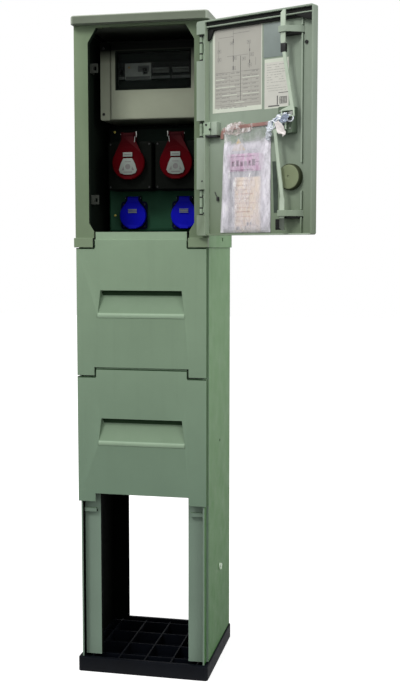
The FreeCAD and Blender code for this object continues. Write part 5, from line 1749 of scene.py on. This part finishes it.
@dataclass
class PedestalTrim:
    """The blind plug of the pedestal's right wall and the strips of painted shadow in the seams between its front
    panels and in their grips.

    Heights are measured down from a panel's top, and the shadow strips' depths run from front to back.
    """

    plug: Point = (166.5, 17.0, 246.0)
    lower_top: float = 792.0
    upper_top: float = 1117.0
    shoulder: float = 21.0
    seam_shadow: float = 2.6
    depth: tuple = (-160.12, -158.2)
    half_top: float = 118.9
    outer: tuple = (119.1, 167.0)
    step: tuple = (117.4, 119.0)
    grip: tuple = (102.6, 141.0, 127.4)
    grip_depth: tuple = (-145.5, -144.1)

    def build(self) -> None:
        """Make the blind plug and the dark strips of painted shadow in the panels' seams and grips."""
        plug = Form(HERE)
        plug.round(self.plug, Axis.X, 8.5, 5.0, 1.5)
        plug.finish("wall_plug", WHITE_PLUG, Body.CABINET, Slot.GREEN)
        for name, top, body in (("lower", self.lower_top, Body.LOWER_FRONT),
                                ("upper", self.upper_top, Body.UPPER_FRONT)):
            self.seams(top, name == "lower").finish("panel_seal_" + name, SEAM_SHADE, body, Slot.GREEN)

    def seams(self, top: float, under_panel: bool) -> Form:
        """Painted shadow along a panel's stepped upper joint and in the top of its grip; along the top edge too where
        a panel stands on it.

        Args:
            top: The panel's top.
            under_panel: Whether a panel stands on it.

        Returns:
            The form with the shadow strips.
        """
        form = Form(HERE)
        shoulder = top - self.shoulder
        front, back = self.depth
        # Painted shadow along the top edge, under the panel above.
        if under_panel:
            form.block((-self.half_top, front, top - self.seam_shadow), (self.half_top, back, top), 0.2)
        for side in (-1, 1):
            for edges, low, high in ((self.outer, shoulder - self.seam_shadow, shoulder),
                                     (self.step, shoulder, top - self.seam_shadow)):
                left, right = sorted(side * edge for edge in edges)
                form.block((left, front, low), (right, back, high), 0.2)
        # Painted shadow in the top of the grip.
        half, low, high = self.grip
        form.block((-half, self.grip_depth[0], top - low), (half, self.grip_depth[1], top - high), 0.2)
        return form


@dataclass(frozen=True)
class View:
    """The camera that matches the photograph."""

    place: Point = (0.69509, -2.70367, 1.09373)
    down: float = 5.038
    turn: float = 12.062
    lens: float = 55.57
    sensor: float = 36.0


@dataclass(frozen=True)
class Lamp:
    """A soft square lamp: where it stands, what it points at, its size in metres, its power and its colour."""

    name: str
    place: Point
    target: Point
    size: float
    power: float
    color: Color


@dataclass
class Studio:
    """Floor, soft light from the upper left front, a weaker one from the right, a pale surround, and the camera."""

    floor_half: float = 14.0
    floor_shade: Color = (0.10, 0.10, 0.10)
    floor_tone: Color = (0.6, 0.6, 0.6)
    floor_glow: Color = (0.62, 0.62, 0.62)
    lamps: tuple = (Lamp("key", (-1.35, -2.9, 4.2), (0.0, 0.0, 1.1), 1.1, 96.0, (1.0, 0.98, 0.96)),
                    Lamp("side", (2.7, -2.0, 2.8), (0.2, 0.0, 1.3), 1.4, 26.0, (0.98, 1.0, 0.96)))
    surround: float = 1.0

    def seen(self, shader: Shader) -> bpy.types.Node:
        """A value of 1 where the camera looks, also by a mirror or through glass.

        Args:
            shader: The floor's shader.

        Returns:
            The node that gives the value.
        """
        path = shader.add("ShaderNodeLightPath")
        both = shader.math("MAXIMUM", (path, "Is Camera Ray"), (path, "Is Glossy Ray"))
        return shader.math("MAXIMUM", (both, "Value"), (path, "Is Transmission Ray"))

    def floor(self) -> None:
        """A plain floor that looks white and keeps the object's shadow."""
        shape = bmesh.new()
        bmesh.ops.create_grid(shape, x_segments=1, y_segments=1, size=self.floor_half)
        mesh = bpy.data.meshes.new("floor")
        shape.to_mesh(mesh)
        shape.free()
        plane = bpy.data.objects.new("floor", mesh)
        bpy.context.scene.collection.objects.link(plane)
        shader = Shader("floor_pale")
        seen = self.seen(shader)
        shader.paint((shader.mix(seen, "Value", self.floor_shade, self.floor_tone), 2))
        shader.set(Roughness=1.0, Specular_IOR_Level=0.0)
        glow = shader.mix(seen, "Value", (0.0, 0.0, 0.0), self.floor_glow)
        shader.tree.links.new(glow.outputs[2], shader.surface.inputs["Emission Color"])
        shader.set(Emission_Strength=1.0)
        mesh.materials.append(shader.material)

    def light(self, lamp: Lamp) -> None:
        """Set a lamp up and point it at its target.

        Args:
            lamp: The lamp.
        """
        data = bpy.data.lights.new(lamp.name, "AREA")
        data.shape = "SQUARE"
        data.size = lamp.size
        data.energy = lamp.power
        data.color = lamp.color
        piece = bpy.data.objects.new(lamp.name, data)
        piece.location = lamp.place
        piece.rotation_euler = (Vector(lamp.target) - Vector(lamp.place)).to_track_quat("-Z", "Y").to_euler()
        bpy.context.scene.collection.objects.link(piece)

    def sky(self) -> None:
        """The even pale surround."""
        world = bpy.data.worlds.new("surround")
        world.use_nodes = True
        background = world.node_tree.nodes["Background"]
        background.inputs["Color"].default_value = (1.0, 1.0, 1.0, 1)
        background.inputs["Strength"].default_value = self.surround
        bpy.context.scene.world = world

    def camera(self, view: View) -> None:
        """The camera of the photograph.

        Args:
            view: Where it stands and how it looks.
        """
        data = bpy.data.cameras.new("camera")
        data.lens = view.lens
        data.sensor_width = view.sensor
        data.sensor_fit = "AUTO"
        camera = bpy.data.objects.new("camera", data)
        camera.location = view.place
        camera.rotation_euler = (math.radians(90 - view.down), 0, math.radians(view.turn))
        bpy.context.scene.collection.objects.link(camera)
        bpy.context.scene.camera = camera

    def build(self) -> None:
        """Set the studio up."""
        self.floor()
        for lamp in self.lamps:
            self.light(lamp)
        self.sky()
        self.camera(View())
        bpy.context.scene.view_settings.view_transform = "Standard"


def film_material() -> bpy.types.Material:
    """Thin clear film: see-through in the middle, whitish and crinkled along its edges, with painted glints of light.

    Returns:
        The material.
    """
    shader = Shader(FILM.name)
    split = shader.axis("UV")
    side = shader.math("ABSOLUTE", (shader.math("SUBTRACT", (split, "X"), 0.5), "Value"), 0.0)
    rim = shader.ramp(side, "Value", 0.24, 0.42, 0.0, 1.0)
    foot = shader.ramp(split, "Y", 0.0, 0.16, 0.6, 0.0)
    pouch_low = shader.ramp(split, "Y", 0.70, 0.80, 0.0, 0.55)
    pouch_high = shader.ramp(split, "Y", 0.83, 0.87, 1.0, 0.0)
    mouth = shader.math("MULTIPLY", (pouch_low, "Result"), (pouch_high, "Result"))
    edges = shader.math("MAXIMUM", (rim, "Result"), (foot, "Result"))
    zone = shader.math("MAXIMUM", (edges, "Value"), (mouth, "Value"))
    above = shader.ramp(split, "Y", 0.84, 0.88, 1.0, 0.25)
    zone = shader.math("MULTIPLY", (zone, "Value"), (above, "Result"))
    crinkle = shader.noise(1.0, 6.0, 0.68, (12, 7, 1), "UV")
    drape = shader.noise(1.0, 3.0, 0.55, (5, 3, 1), "UV")
    blend = shader.math("ADD", (crinkle, "Fac"), (drape, "Fac"))
    # Painted highlights: white glints where the crinkles catch the light.
    glint = shader.ramp(blend, "Value", 1.10, 1.24, 0.0, 1.0)
    veil = shader.ramp(blend, "Value", 0.88, 1.15, 0.08, 0.34)
    strong = shader.math("MULTIPLY", (zone, "Value"), (shader.ramp(blend, "Value", 0.86, 1.06, 0.55, 1.0), "Result"))
    cover = shader.math("MAXIMUM", (strong, "Value"), (veil, "Result"))
    cover = shader.math("MAXIMUM", (cover, "Value"), (shader.math("MULTIPLY", (glint, "Result"), 0.8), "Value"))
    cover = shader.math("MULTIPLY", (cover, "Value"), (shader.ramp(split, "Y", 0.85, 0.89, 1.0, 0.45), "Result"))
    color = shader.mix(glint, "Result", srgb(232, 229, 238), srgb(255, 255, 255))
    shader.paint((color, 2))
    shader.join(cover, "Value", shader.surface, "Alpha")
    shader.set(Roughness=0.22, Coat_Weight=0.4)
    fine = shader.noise(120.0, 6.0, 0.7)
    shader.join(shader.bump(fine, "Fac", 0.25, 0.001), "Normal", shader.surface, "Normal")
    return shader.material


def crumple_material() -> bpy.types.Material:
    """Crumpled clear film: whitish, and see-through in places.

    Returns:
        The material.
    """
    shader = Shader(CRUMPLE.name)
    fold = shader.noise(1.0, 4.0, 0.6, (90, 90, 45))
    color = shader.mix(shader.ramp(fold, "Fac", 0.45, 0.62, 0.0, 1.0), "Result", srgb(206, 186, 180),
                       srgb(244, 242, 242))
    shader.paint((color, 2))
    shader.join(shader.ramp(fold, "Fac", 0.42, 0.64, 0.08, 0.80), "Result", shader.surface, "Alpha")
    shader.set(Roughness=0.3)
    shader.join(shader.bump(shader.noise(300.0, 4.0, 0.6), "Fac", 0.3, 0.0006), "Normal", shader.surface, "Normal")
    return shader.material


def window_material() -> bpy.types.Material:
    """Smoked clear plastic with faint scratches.

    Returns:
        The material.
    """
    shader = Shader(SMOKED.name)
    haze = shader.noise(18.0, 5.0, 0.6)
    tint = shader.mix(shader.ramp(haze, "Fac", 0.3, 0.7, 0.0, 1.0), "Result", srgb(12, 18, 15), srgb(26, 34, 30))
    shader.paint((tint, 2))
    shader.join(shader.ramp(haze, "Fac", 0.3, 0.7, 0.26, 0.36), "Result", shader.surface, "Alpha")
    scratch = shader.noise(60.0, 8.0, 0.8, (1, 1, 8))
    shader.join(shader.ramp(scratch, "Fac", 0.4, 0.75, 0.08, 0.3), "Result", shader.surface, "Roughness")
    shader.set(Specular_IOR_Level=0.06)
    return shader.material


def main() -> None:
    """Dress every node, add what only shows, and set the studio up."""
    logging.basicConfig(level=logging.INFO)
    palette.made[FILM.name] = film_material()
    palette.made[CRUMPLE.name] = crumple_material()
    palette.made[SMOKED.name] = window_material()
    for node, dress in NODE_DRESS.items():
        dress_node(node, dress)
        log.info("dressed %s", node)
    for assembly in (DoorPapers(), DoorGasketAndShadows(), LockFittings(), DocumentBag(), BagTie(), SwitchUnit(),
                     SocketBank(), PedestalTrim()):
        assembly.build()
        log.info("built %s", type(assembly).__name__)
    Studio().build()


if __name__ == "__main__":
    main()
